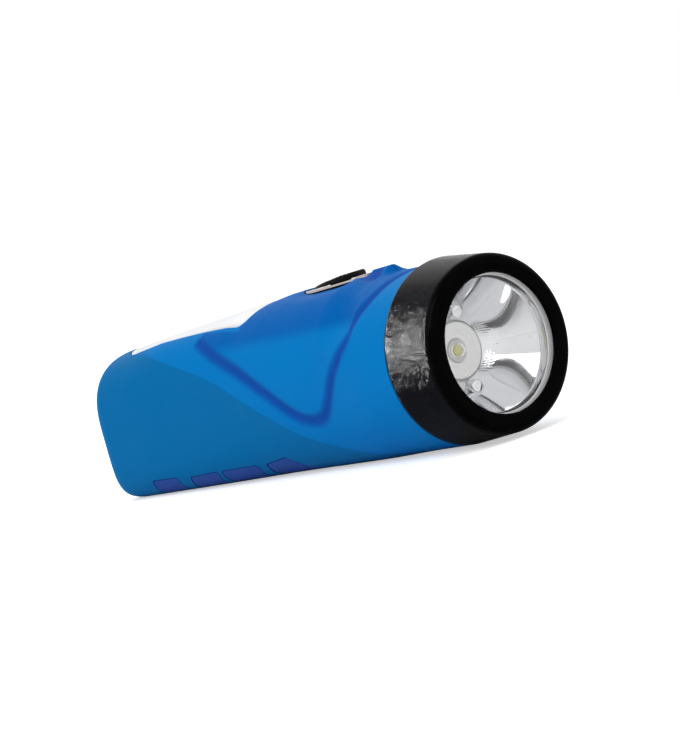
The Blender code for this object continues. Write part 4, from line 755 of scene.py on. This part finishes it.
def cavity():
    """The hollow inside both shells, with the screw bosses left standing."""
    start = TAIL_X + TAIL_WALL
    rounding = start + TAIL_ROUND * (1 - np.cos(np.linspace(0, math.pi / 2, 9)))
    along = np.linspace(rounding[-1], SHOULDER_X, 60)[1:]
    angles = np.linspace(0, 2 * math.pi, 64, endpoint=False)
    xs = np.concatenate([rounding, along])
    rings = list(body_points(xs[:, None], angles[None, :], BODY_WALL, TAIL_WALL))
    for x in (SHOULDER_X, SPIGOT_END + 0.004):
        rings.append(spigot_ring(x, SPIGOT_BORE, angles))
    hollow = loft("cavity", rings)
    solids = []
    for number in SCREWS:
        at = halfway(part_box(f"case_screw_{number}"))
        solids.append(rod(f"boss_{number}", 0.004, (at.x, -OUTSIDE, at.z), 2 * OUTSIDE, "Y", 24))
    tray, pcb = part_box("lamp_tray")[0].z - GAP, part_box("main_board")[0].z - GAP
    ribs = [(share, tray, 0.0075, 0.012) for share in (0.156, 0.294, 0.444)]
    ribs += [(share, pcb, 0.0077, 0.0148) for share in (0.6, 0.721, 0.865)]
    for share, top, height, reach in ribs:
        x = TAIL_X + BODY_LENGTH * share
        for low, high in ((-OUTSIDE, -reach), (reach, OUTSIDE)):
            solids.append(block("rib", (x - 0.001, low, top - height), (x + 0.001, high, top)))
    return carve(hollow, solids)


SWITCH_FRAME = (
    Matrix.Translation((SWITCH_X, 0, float(crown(np.array(SWITCH_X), np.array(0.0)))))
    @ Matrix.Rotation(SWITCH_TILT, 4, "Y")
)


def oval(length, width, steps=96):
    return [(x * length / 2, y * width / 2) for x, y in circle(1, steps)]


def on_switch(obj):
    obj.data.transform(SWITCH_FRAME)
    return obj


def pad_outline(number, out=0.0):
    """The outline of one pad in XZ, moved out. The front one ends in a drawn-out tip."""
    corners = [(TAIL_X + BODY_LENGTH * along, BODY_HEIGHT * up) for along, up in GRIP_SHARES[number]]
    radii = [0.0006] * 2 + [0.0008] * 2
    if len(corners) > 4:
        radii = [0.0006, 0.0002, 0.0] + [0.0025] * 2 + [0.0008] * 2
    return even(filleted(grown(corners, out) if out else corners, radii, 6), 140)


def mirrored(obj):
    """The object turned over to the other side of the body."""
    obj.data.transform(Matrix.Scale(-1, 4, (0, 1, 0)))
    obj.data.flip_normals()
    return obj


def pad_solid(name, number, out, levels, lowest=0.0):
    """A pad or its pocket: rings that shrink to the middle, each at its height over the body."""
    edge = pad_outline(number, out)
    centre = pad_outline(number).mean(0)
    rings = []
    for shrink, height in levels:
        ring = centre + (edge - centre) * (1 - shrink)
        points = side_points(ring[:, 0], ring[:, 1], height)
        points[:, 1] = -np.maximum(points[:, 1], 0.004)
        points[:, 2] = np.maximum(points[:, 2], lowest)
        rings.append(points)
    return loft(name, rings)


def half_skin(label):
    """The right half of the body's outside, from the seam at y = 0, with its relief."""
    rounding = TAIL_X + TAIL_ROUND * (1 - np.cos(np.linspace(0, math.pi / 2, 26)))
    xs = np.concatenate([rounding, np.linspace(rounding[-1], NECK_X, 322)[1:]])
    angles = np.linspace(math.pi / 2, -math.pi / 2, 181)
    points = body_points(xs[:, None], angles[None, :])
    normal = np.cross(np.gradient(points, axis=1), np.gradient(points, axis=0))
    normal /= np.linalg.norm(normal, axis=-1, keepdims=True) + 1e-12
    normal *= np.sign((normal * (points - (0, 0, AXIS_Z))).sum(-1, keepdims=True) + 1e-9)
    normal[:, (0, -1), 1] = 0
    sink = relief(points) * eased(points[..., 0], TAIL_X, TAIL_X + 0.004)
    points = points - normal * sink[..., None]
    points[..., 1] = np.maximum(points[..., 1], GAP / 2)
    points[:, (0, -1), 1] = GAP / 2
    points[..., 2] = np.maximum(points[..., 2], 0)
    rows = list(points)
    for x in (NECK_X, SPIGOT_END):
        ring = spigot_ring(x, SPIGOT_RADIUS, angles)
        ring[(0, -1), 1] = GAP / 2
        rows.append(ring)
    rows = np.array(rows)
    rows[..., 1] *= -1
    count = rows.shape[1]
    starts = [i * count for i in range(len(rows))]
    faces = [
        (start + j, start + j + 1, start + count + j + 1, start + count + j)
        for start in starts[:-1] for j in range(count - 1)
    ]
    faces.append(tuple(range(count)))
    faces.append(tuple(starts[-1] + i for i in range(count)))
    faces.append((*starts, *[start + count - 1 for start in reversed(starts)]))
    return mesh_object(f"{label}_skin", rows.reshape(-1, 3), faces)


def openings():
    """The hollow, the lens opening, and the room for the switch, the flap and the pads."""
    cutters = [cavity()]
    cutters.append(prism("lens_opening", lens_plan(GAP), LENS_FLANGE_Z, BODY_HEIGHT + 0.004))
    floor = -(PLATE_SINK + PLATE_THICKNESS + GAP)
    pocket = [
        (x + (0.0008 if x > 0 else 0) * x / (PLATE_LENGTH / 2), y)
        for x, y in oval(PLATE_LENGTH + 0.001, PLATE_WIDTH + 0.001)
    ]
    cutters.append(on_switch(prism("switch_pocket", pocket, floor, 0.004)))
    slot_low, slot_high = (-SLOT_REACH, -SLOT_HALF_WIDTH, -0.006), (SLOT_REACH, SLOT_HALF_WIDTH, 0.004)
    cutters.append(on_switch(block("stem_slot", slot_low, slot_high)))
    anchor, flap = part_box("flap_anchor"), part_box("charge_flap")
    before, half = TAIL_X - 0.004, FLAP_HALF_WIDTH + FLAP_CLEARANCE
    low, high = flap[0].z - FLAP_CLEARANCE, anchor[1].z + FLAP_CLEARANCE
    recess = filleted(
        [(-half, low), (half, low), (half, high), (-half, high)], (0.0034, 0.0034, 0.0008, 0.0008), 8
    )
    made = prism("flap_recess", recess, before, TAIL_X + 0.0019)
    made.data.transform(ON_TAIL)
    cutters.append(made)
    socket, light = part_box("charge_socket"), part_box("charge_light")
    for name, radius, ends in (
        ("socket_hole", 0.0036, socket), ("light_hole", 0.0018, light), ("stud_hole", 0.0015, anchor)
    ):
        cutters.append(rod(name, radius, (before, 0, halfway(ends).z), 0.012))
    for number in range(len(GRIP_SHARES)):
        shares = (0.9, 0.5, 0)
        levels = [(share, -0.0015) for share in shares] + [(share, 0.001) for share in reversed(shares)]
        cutters.append(pad_solid(f"pocket_{number + 1}", number, GAP, levels, -1))
    return cutters


def screw_holes(screw_heads):
    """Ways for the case screws, with room for their heads on the side that has them."""
    holes = []
    for number in SCREWS:
        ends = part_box(f"case_screw_{number}")
        x, _, z = halfway(ends)
        if screw_heads:
            steps = (
                (SCREW_HOLE, 0.004), (SCREW_HOLE, -0.013), (SCREW_HOLE, -0.012), (HEAD_WAY, -0.012),
                (HEAD_WAY, -0.04),
            )
            rings = [[(x + across, y, z + up) for across, up in circle(r, 32)] for r, y in steps]
            holes.append(loft(f"screw_way_{number}", rings))
        else:
            holes.append(rod(f"screw_hole_{number}", SCREW_HOLE, (x, ends[0].y - GAP, z), 0.0225, "Y", 24))
    return holes


def shell(label, screw_heads):
    """One half of the body. Both are made on the right, and the one with screw heads is turned over."""
    obj = half_skin(label)
    if not screw_heads:
        carve(obj, [seam_tongue()], "UNION")
    carve(obj, openings())
    carve(obj, screw_holes(screw_heads))
    place_painted_shade(obj)
    if screw_heads:
        mirrored(obj)
    return finish(obj, BLUE, replaces=(f"{label}_shell",), sharp=30)


def seam_tongue():
    """A rib on the right half that closes the seam, a little under the surface."""
    under, play = 0.001, 0.00002
    xs = np.linspace(TAIL_X + under, SHOULDER_X, 90)
    top, foot = body_section(xs, under, under)[2:4]
    outline = [*zip(xs, np.maximum(foot, under)), *zip(xs[::-1], top[::-1])]
    return loft("seam_tongue", [[(x, y, z) for x, z in outline] for y in (-0.0004, GAP / 2 - play)])


def place_painted_shade(obj):
    """The body's painted shade masks as values on the mesh's points."""
    mesh = obj.data
    points = np.empty(len(mesh.vertices) * 3)
    mesh.vertices.foreach_get("co", points)
    for name, values in painted_shade_masks(points.reshape(-1, 3)).items():
        mesh.attributes.new(name, "FLOAT", "POINT").data.foreach_set("value", values.astype(np.float32))


def pads():
    proud = 0.00003
    levels = [(share, -GRIP_THICKNESS) for share in (0.97, 0.6, 0.3, 0.02)]
    levels += [(0, -GRIP_THICKNESS + 0.0002), (0, -0.0003), (0.01, -0.00012), (0.035, -0.00002)]
    levels += [(0.07, 0.00002)]
    levels += [(share, proud) for share in (0.14, 0.25, 0.4, 0.6, 0.8, 0.97)]
    for side, label in ((-1, "right"), (1, "left")):
        for number in range(len(GRIP_SHARES)):
            pad = pad_solid(f"{label}_pad_{number + 1}", number, 0.0, levels)
            if side > 0:
                mirrored(pad)
            finish(pad, INDIGO, replaces=(f"{label}_grip_{number + 1}",), sharp=60)


# The top lamp

def top_lens():
    """The lens follows the body's form, with a flange that holds it from inside."""
    count = 220
    plan, flange = even(lens_plan(0, 24), count), even(lens_plan(LENS_FLANGE, 24), count)
    flange[:, 1] = np.clip(flange[:, 1], -LENS_HALF_WIDTH - LENS_BELLY, LENS_HALF_WIDTH + LENS_BELLY)
    inner = even(lens_plan(-LENS_WALL, 24), count)
    rings = []

    def follow(loop, depth=0.0):
        rings.append(np.column_stack([loop, crown(loop[:, 0], loop[:, 1]) - depth]))

    centre = plan.mean(0)
    away = plan - centre
    low, high = LENS_FLANGE_Z, LENS_FLANGE_Z + LENS_FLANGE_THICKNESS
    for share in (0.03, 0.25, 0.5, 0.75, 0.95, 1.0):
        follow(centre + (inner - centre) * share, LENS_WALL)
    for loop, height in ((inner, low), (flange, low), (flange, high), (plan, high)):
        rings.append(np.column_stack([loop, height + 0 * loop[:, 0]]))
    edge = 0.0005
    for step in range(6):
        angle = math.pi / 2 * step / 5
        follow(even(lens_plan(-edge * (1 - math.cos(angle)), 24), count), edge * (1 - math.sin(angle)))
    base = away * (1 - edge / np.linalg.norm(away, axis=1, keepdims=True))
    for share in np.linspace(0.99, 0.02, 26):
        follow(centre + base * share)
    made = loft("lamp_lens", rings)
    return finish(made, FROST, replaces=("top_lens",), sharp=40)


# The switch

def switch_plate():
    """A thin bright plate on a black layer, its rim raised at both ends. The black layer is painted shade for
    the shadowed gap under the plate's rim.
    """
    top = -PLATE_SINK
    turns = ((-1, -1), (1, -1), (1, 1), (-1, 1))
    slot = filleted([(x * SLOT_REACH, y * SLOT_HALF_WIDTH) for x, y in turns], [0.001] * 4)
    split = top - PLATE_THICKNESS * 0.55
    rings = []
    for less, height, share in (
        (0, split, 0), (0, top - 0.00015, 1), (0.0003, top, 1),
        (0.0009, top, 1), (0.0014, top, 0), (0.008, top, 0),
    ):
        loop = np.array(oval(PLATE_LENGTH - less, PLATE_WIDTH - less))
        rise = PLATE_RIM * share * eased(np.abs(loop[:, 0]) / PLATE_LENGTH, 0.32, 0.46)
        rings.append(np.column_stack([loop, height + rise]))
    plate = loft("oval_plate", rings)
    carve(plate, [prism("plate_slot", slot, -0.01, 0.01)])
    finish(on_switch(plate), SILVER, replaces=("switch_plate",))
    # The black layer below is painted shade for the shadowed gap under the plate's rim.
    edge = oval(PLATE_LENGTH - 0.0002, PLATE_WIDTH - 0.0002)
    seal = prism("plate_shade_layer", edge, top - PLATE_THICKNESS, split)
    carve(seal, [prism("shade_layer_slot", slot, -0.01, 0.01)])
    finish(on_switch(seal), BLACK_SHADE_LAYER)


def thumb_slider():
    """Low behind, thick in front, with rounded cross ridges on its front half."""
    plate_top = -PLATE_SINK
    under = plate_top + GAP
    half = SLIDER_LENGTH / 2
    low, high = plate_top + SLIDER_REAR_HEIGHT, plate_top + SLIDER_FRONT_HEIGHT

    def height(x):
        rise = low + (high - low) * np.clip((x + half) / (half * 1.4), 0, 1)
        front = high - (high - under) * 0.85 * eased(x, half - 0.0024, half) ** 1.5
        ridges = 0.00035 * (0.5 - 0.5 * np.cos(2 * math.pi * (x - half * 0.02) / 0.0017))
        where = eased(x, -0.0012, 0.0004) * (1 - eased(x, half - 0.0034, half - 0.0026))
        return np.minimum(rise, front) - ridges * where

    outline = np.array(oval(SLIDER_LENGTH, SLIDER_WIDTH, 144))
    rings = [np.column_stack([outline * share, under + 0 * outline[:, 0]]) for share in (0.02, 0.5, 0.97)]
    rings.append(np.column_stack([outline, under + 0.0001 + 0 * outline[:, 0]]))
    for share, drop in ((1, 0.62), (0.995, 0.36), (0.985, 0.2), (0.965, 0.09), (0.94, 0.03), (0.91, 0)):
        tops = height(outline[:, 0] * share)
        rings.append(np.column_stack([outline * share, tops - (tops - under) * drop]))
    for share in np.linspace(0.88, 0.01, 44):
        rings.append(np.column_stack([outline * share, height(outline[:, 0] * share)]))
    slider = loft("thumb_slider", rings)
    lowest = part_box("switch_slider")[0].z
    stem_bottom = lowest + 0.0001 - SWITCH_FRAME.translation.z
    stem = block("stem", (-0.003, -0.002, stem_bottom), (0.003, 0.002, low - 0.0004))
    room = block("room", (-0.0015, -0.0014, stem_bottom - 0.001), (0.0015, 0.0014, stem_bottom + 0.0025))
    carve(stem, [room])
    carve(slider, [stem], "UNION")
    return finish(on_switch(slider), BLACK, "slider", ("switch_slider",), sharp=50)


# The head

def bezel_ring():
    """Tapered side, round nose, and a stepped lip round the opening."""
    rear, lip, bore, opening = NECK_X + GAP, FRONT_X - 0.0016, WINDOW_RADIUS + GAP, 0.0205
    corners = [
        (rear, bore), (lip, bore), (lip, opening), (FRONT_X - 0.0005, opening), (FRONT_X, opening + 0.0005),
        (FRONT_X, 0.0262), (rear, NECK_RADIUS),
    ]
    radii = (0.0002, 0.0002, 0.00015, 0.0003, 0.0003, 0.0024, 0.0005)
    outline = []
    rounded = filleted(corners, radii, 10)
    for (x0, r0), (x1, r1) in zip(rounded, [*rounded[1:], rounded[0]]):
        pieces = max(1, int(math.hypot(x1 - x0, r1 - r0) / 0.002))
        outline += [(x0 + (x1 - x0) * i / pieces, r0 + (r1 - r0) * i / pieces) for i in range(pieces)]
    made = turned("head_bezel", outline, 192)
    return finish(made, BEZEL, replaces=("bezel_ring",))


def window():
    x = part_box("head_window")[0].x
    front = x + WINDOW_THICKNESS
    outline = [(x, NEAR_AXIS), (x, WINDOW_RADIUS), (front, WINDOW_RADIUS), (front, NEAR_AXIS)]
    made = turned("front_window", outline, 128)
    return finish(made, WINDOW, replaces=("head_window",))


def gasket():
    low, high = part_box("window_gasket")
    step = high.x - 0.0005
    corners = [
        (low.x, 0.0206), (step, 0.0206), (step, 0.0201), (high.x, 0.0201), (high.x, WINDOW_RADIUS),
        (low.x, WINDOW_RADIUS),
    ]
    outline = filleted(corners, [0.0001] * 6, 3)
    return finish(turned("sealing_ring", outline), SEAL, replaces=("window_gasket",))


DISH_X, DISH_DEPTH, DISH_BASE, DISH_MOUTH = 0.0735, 0.0157, 0.009, 0.0198
DISH_REACH, RIM_REACH, RIM_GROWTH = 0.0141, 0.0164, 0.0003


def dish_profile(steps):
    """Points (x, radius) of the bright surface: steep at first, with a thin rim in front."""
    radii = np.linspace(DISH_BASE, DISH_MOUTH, steps)
    slopes = 0.6 + 0.5 * np.exp(-(radii - DISH_BASE) / 0.0042)
    along = np.concatenate([[0], np.cumsum(np.diff(radii) / ((slopes[1:] + slopes[:-1]) / 2))])
    dish = np.column_stack([DISH_X + along * (DISH_REACH / along[-1]), radii])
    start, length = DISH_X + DISH_REACH, RIM_REACH - DISH_REACH
    rim = [
        (start + length * t, DISH_MOUTH + RIM_GROWTH * math.sin(t * math.pi / 2)) for t in (0.2, 0.5, 0.75, 1)
    ]
    return np.concatenate([dish, rim])


def reflector():
    """A parabola, dimpled near its base, with two screw bosses and a flat flange."""
    steps, waves, pitch = 384, 84, 0.0007
    rings = []
    back = 0.0014
    for x, radius in dish_profile(58):
        zone = eased(radius, DISH_BASE, DISH_BASE + 0.0006) * (1 - eased(radius, 0.0105, 0.0124))
        band = (radius - DISH_BASE) / pitch
        angles = np.arange(steps) * (2 * math.pi / steps)
        wave = np.cos(waves * angles + math.pi * (int(band) % 2))
        dents = 0.000045 * zone * wave * math.sin(math.pi * (band % 1))
        rings.append(spigot_ring(x, radius + dents, angles))

    def ring(x, radius):
        rings.append([(x, across, AXIS_Z + up) for across, up in circle(radius, steps)])

    mouth_x = DISH_X + DISH_DEPTH
    rim_x, rim = dish_profile(12)[-1]
    flange_x, flange_bore = mouth_x - 0.0044, 0.022
    for x, radius in (
        (rim_x, rim + 0.0002), (mouth_x, rim + 0.0002), (mouth_x, WINDOW_RADIUS), (flange_x, WINDOW_RADIUS),
        (flange_x, flange_bore), (mouth_x - back, flange_bore), (mouth_x - back, DISH_MOUTH + 0.0016),
    ):
        ring(x, radius)
    for x, radius in reversed(dish_profile(12)[1:-6]):
        ring(x, radius + back)
    ring(DISH_X - 0.001, DISH_BASE + back)
    ring(DISH_X - 0.001, DISH_BASE)
    dish = loft("bright_reflector", rings, ends_meet=True)
    bosses = []
    forward = Matrix(((0, 0, 1, 0), (0, 1, 0, 0), (-1, 0, 0, 0), (0, 0, 0, 1)))
    for side in (-1, 1):
        z = AXIS_Z + side * LAMP_SCREW_REACH
        boss = prism("boss", circle(0.0023, 48), SHOULDER_X, DISH_X + 0.0048, 0.0009, 6)
        boss.data.transform(Matrix.Translation((0, 0, z)) @ forward)
        carve(boss, [rod("hole", 0.0015, (SHOULDER_X - 0.002, 0, z), 0.0067, "X", 24)])
        bosses.append(boss)
    carve(dish, bosses, "UNION")
    return finish(dish, CHROME, replaces=("reflector",), sharp=45)


def main_lamp():
    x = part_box("main_led")[0].x

    def stepped(name, low, high, radius, radii, steps):
        corners = [(low, NEAR_AXIS), (low, radius), (high, radius), (high, NEAR_AXIS)]
        return turned(name, filleted(corners, radii, 3), steps)

    def dome(length, radius):
        angles = np.linspace(0, math.pi / 2, 14)
        return [(x + 0.00085 + length * math.sin(a), NEAR_AXIS + radius * math.cos(a)) for a in angles]

    finish(stepped("lamp_base", x, x + 0.0008, 0.0034, (0, 0.0001, 0.0002, 0), 64), WHITE)
    chip = stepped("lamp_chip", x + 0.0009, x + 0.0014, 0.0016, (0, 0, 0.0002, 0), 48)
    finish(chip, PHOSPHOR)
    skin = turned("lamp_dome", dome(0.0023, 0.0022) + dome(0.0017, 0.0018)[::-1], 64)
    finish(skin, DOME, replaces=("main_led",))
    low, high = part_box("led_spacer")
    outer = 0.0084
    front = ((0, 0.0037), (0.0004, 0.0037), (0.0007, 0.0043), (0.0007, 0.0052), (0.00082, 0.0054),
             (0.00082, 0.0066), (0.00094, 0.0068), (0.00094, 0.0077))
    profile = [(low.x, outer), *[(low.x + along, radius) for along, radius in front]]
    profile += [(high.x - 0.0001, 0.0079), (high.x, 0.0081), (high.x, outer)]
    spacer = turned("lamp_disc", filleted(profile, [0.0001] * len(profile), 3), 128)
    # The disc's faint glow is painted light.
    finish(spacer, GLOWING_DISC, replaces=("led_spacer",))


# The tail and the screws

def tail_plate(name, low, high, radii, steps):
    corners = [
        (-FLAP_HALF_WIDTH, low), (FLAP_HALF_WIDTH, low), (FLAP_HALF_WIDTH, high), (-FLAP_HALF_WIDTH, high)
    ]
    made = prism(name, filleted(corners, radii, steps), TAIL_X, TAIL_X + FLAP_THICKNESS, 0.0003)
    made.data.transform(ON_TAIL)
    return made


def tail_flap():
    """The flap with its plug and finger ridges, and the strap that it hangs on."""
    low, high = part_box("charge_flap")
    anchor_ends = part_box("flap_anchor")
    cover = tail_plate("socket_flap", low.z, high.z, (0.003, 0.003, 0.0004, 0.0004), 8)
    nub = rod("nub", 0.0022, (TAIL_X + 0.001, 0, halfway(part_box("charge_socket")).z), 0.0026)
    pull = []
    for number in range(3):
        height = low.z + 0.0022 + 0.0014 * number
        pull.append(rod("pull", 0.0004, (TAIL_X - 0.0001, -0.0035, height), 0.007, "Y", 16))
    carve(cover, pull)
    carve(cover, [nub], "UNION")
    finish(cover, RUBBER, "flap", ("charge_flap",))
    radii = (0.0004, 0.0004, 0.0008, 0.0008)
    anchor = tail_plate("flap_strap", anchor_ends[0].z, anchor_ends[1].z, radii, 5)
    stud = rod("stud", 0.0012, (TAIL_X + 0.001, 0, halfway(anchor_ends).z), 0.0045)
    carve(anchor, [stud], "UNION")
    finish(anchor, RUBBER, replaces=("flap_anchor",))


def case_screws():
    """Plain screws with round heads and a cross slot."""
    shank, head = 0.0012, 0.0027
    for number in SCREWS:
        low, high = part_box(f"case_screw_{number}")
        x, _, z = halfway((low, high))
        seat = high.y - 0.002
        outline = [
            (NEAR_AXIS, low.y), (shank, low.y + 0.0012), (shank, seat), (head, seat), (head, seat + 0.0009)
        ]
        outline += [
            (head - 0.0012 * (1 - math.cos(a)), seat + 0.0009 + 0.0011 * math.sin(a))
            for a in np.linspace(0.2, math.pi / 2, 6)
        ]
        outline += [(NEAR_AXIS, seat + 0.002)]
        rings = [[(x + r * across, y, z + r * up) for r, y in outline] for across, up in circle(1, 40)]
        made = loft(f"shell_screw_{number}", rings, ends_meet=True)
        slots = [
            block("slot", (x - across, seat + 0.001, z - up), (x + across, seat + 0.003, z + up))
            for across, up in ((0.0019, 0.00035), (0.00035, 0.0019))
        ]
        carve(made, slots)
        finish(made, STEEL, replaces=(f"case_screw_{number}",))


def kept_nodes():
    """Solids whose shape stays get their finish here."""
    finishes = {
        "bright_steel": STEEL, "white_plastic": WHITE, "white_board": BOARD_WHITE, "alloy": ALLOY,
        "green_board": BOARD_GREEN, "component_black": CHIP, "can_sleeve": CAN, "cell_wrap": CELL_WRAP,
        "cradle_grey": CRADLE_GREY, "red_light": RED_LENS, "red_wire": RED_WIRE, "black_wire": BLACK_WIRE,
        "lamp_phosphor": PHOSPHOR, "black_rubber": RUBBER, "blue_shell": BLUE, "grip_rubber": INDIGO,
        "black_gloss": BLACK, "clear_window": WINDOW, "seal": SEAL, "reflector_chrome": CHROME,
        "frosted_lens": FROST, "silver_plate": SILVER,
    }
    for part in frame["record"]["subparts"]:
        node = frame["nodes"][part["node"]]
        node.data.materials.clear()
        node.data.materials.append(finishes[part["material_slot"]])


kept_nodes()
shell("right", False)
shell("left", True)
pads()
top_lens()
switch_plate()
thumb_slider()
bezel_ring()
window()
gasket()
reflector()
main_lamp()
tail_flap()
case_screws()


# Floor, lamps and camera

def surroundings():
    """A pale floor and a white world, dimmer for what the camera doesn't see."""
    floor = loft("floor", [[(-9, -9, z), (9, -9, z), (9, 9, z), (-9, 9, z)] for z in (-0.01, 0)])
    made, tree, shader = shaded("pale_floor", (0.92, 0.92, 0.92, 1), 0.8, Specular_IOR_Level=0.1)
    seen = place(tree, "ShaderNodeLightPath").outputs["Is Camera Ray"]
    shader.inputs["Emission Color"].default_value = (1, 1, 1, 1)
    tree.links.new(calc(tree, "MULTIPLY", seen, 0.5), shader.inputs["Emission Strength"])
    floor.data.materials.append(made)

    world = bpy.data.worlds.new("studio")
    bpy.context.scene.world = world
    world.use_nodes = True
    tree = world.node_tree
    sky = tree.nodes["Background"]
    sky.inputs["Color"].default_value = (1, 1, 1, 1)
    path = place(tree, "ShaderNodeLightPath").outputs
    bright = path["Is Camera Ray"]
    for name in ("Is Glossy Ray", "Is Transmission Ray"):
        bright = calc(tree, "MAXIMUM", bright, path[name])
    seen = place(tree, "ShaderNodeMapRange", {0: bright, 3: 0.7, 4: 1.0})
    tree.links.new(seen.outputs[0], sky.inputs["Strength"])


def lamp(name, place_at, target, size, power, size_y=None):
    data = bpy.data.lights.new(name, "AREA")
    data.shape = "RECTANGLE"
    data.size, data.size_y = size, size_y or size
    data.energy = power
    obj = bpy.data.objects.new(name, data)
    bpy.context.scene.collection.objects.link(obj)
    obj.location = place_at
    obj.rotation_euler = (Vector(target) - Vector(place_at)).to_track_quat("-Z", "Y").to_euler()
    return obj


def lamps():
    """Two soft lamps for all, and one that lights only the bezel."""
    lamp("key", (0.5, -0.9, 1.1), (0, 0, 0.03), 0.9, 7.5)
    window_light = lamp("rear_window", (-0.955, -0.736, 0.34), (0.083, -0.026, 0.03), 0.2, 180, 0.17)
    lit = bpy.data.collections.new("lit_by_rear_window")
    lit.objects.link(bpy.data.objects["head_bezel"])
    window_light.light_linking.receiver_collection = lit
    lamp("top_strip", (-0.5, 0.35, 0.7), (0.08, 0, 0.03), 0.5, 1.5)


def photo_camera():
    """The camera that the photo's outline was fitted with."""
    camera = bpy.data.cameras.new("camera")
    camera.sensor_width = 36
    camera.lens = 3.48 * 800 / 754 * camera.sensor_width
    camera.clip_start, camera.clip_end = 0.05, 60
    view = bpy.data.objects.new("camera", camera)
    bpy.context.scene.collection.objects.link(view)
    azimuth, elevation, roll = (math.radians(value) for value in (53.38, 4.0, 15.5))
    back = Vector((
        math.sin(azimuth) * math.cos(elevation), -math.cos(azimuth) * math.cos(elevation), math.sin(elevation)
    ))
    right = Vector((math.cos(azimuth), math.sin(azimuth), 0))
    up = back.cross(right)
    across = right * math.cos(roll) - up * math.sin(roll)
    upward = right * math.sin(roll) + up * math.cos(roll)
    view.matrix_world = Matrix((
        (across.x, upward.x, back.x, 0.70648), (across.y, upward.y, back.y, -0.51411),
        (across.z, upward.z, back.z, 0.08668), (0, 0, 0, 1),
    ))
    bpy.context.scene.camera = view


surroundings()
lamps()
photo_camera()
bpy.context.scene.view_settings.view_transform = "Standard"
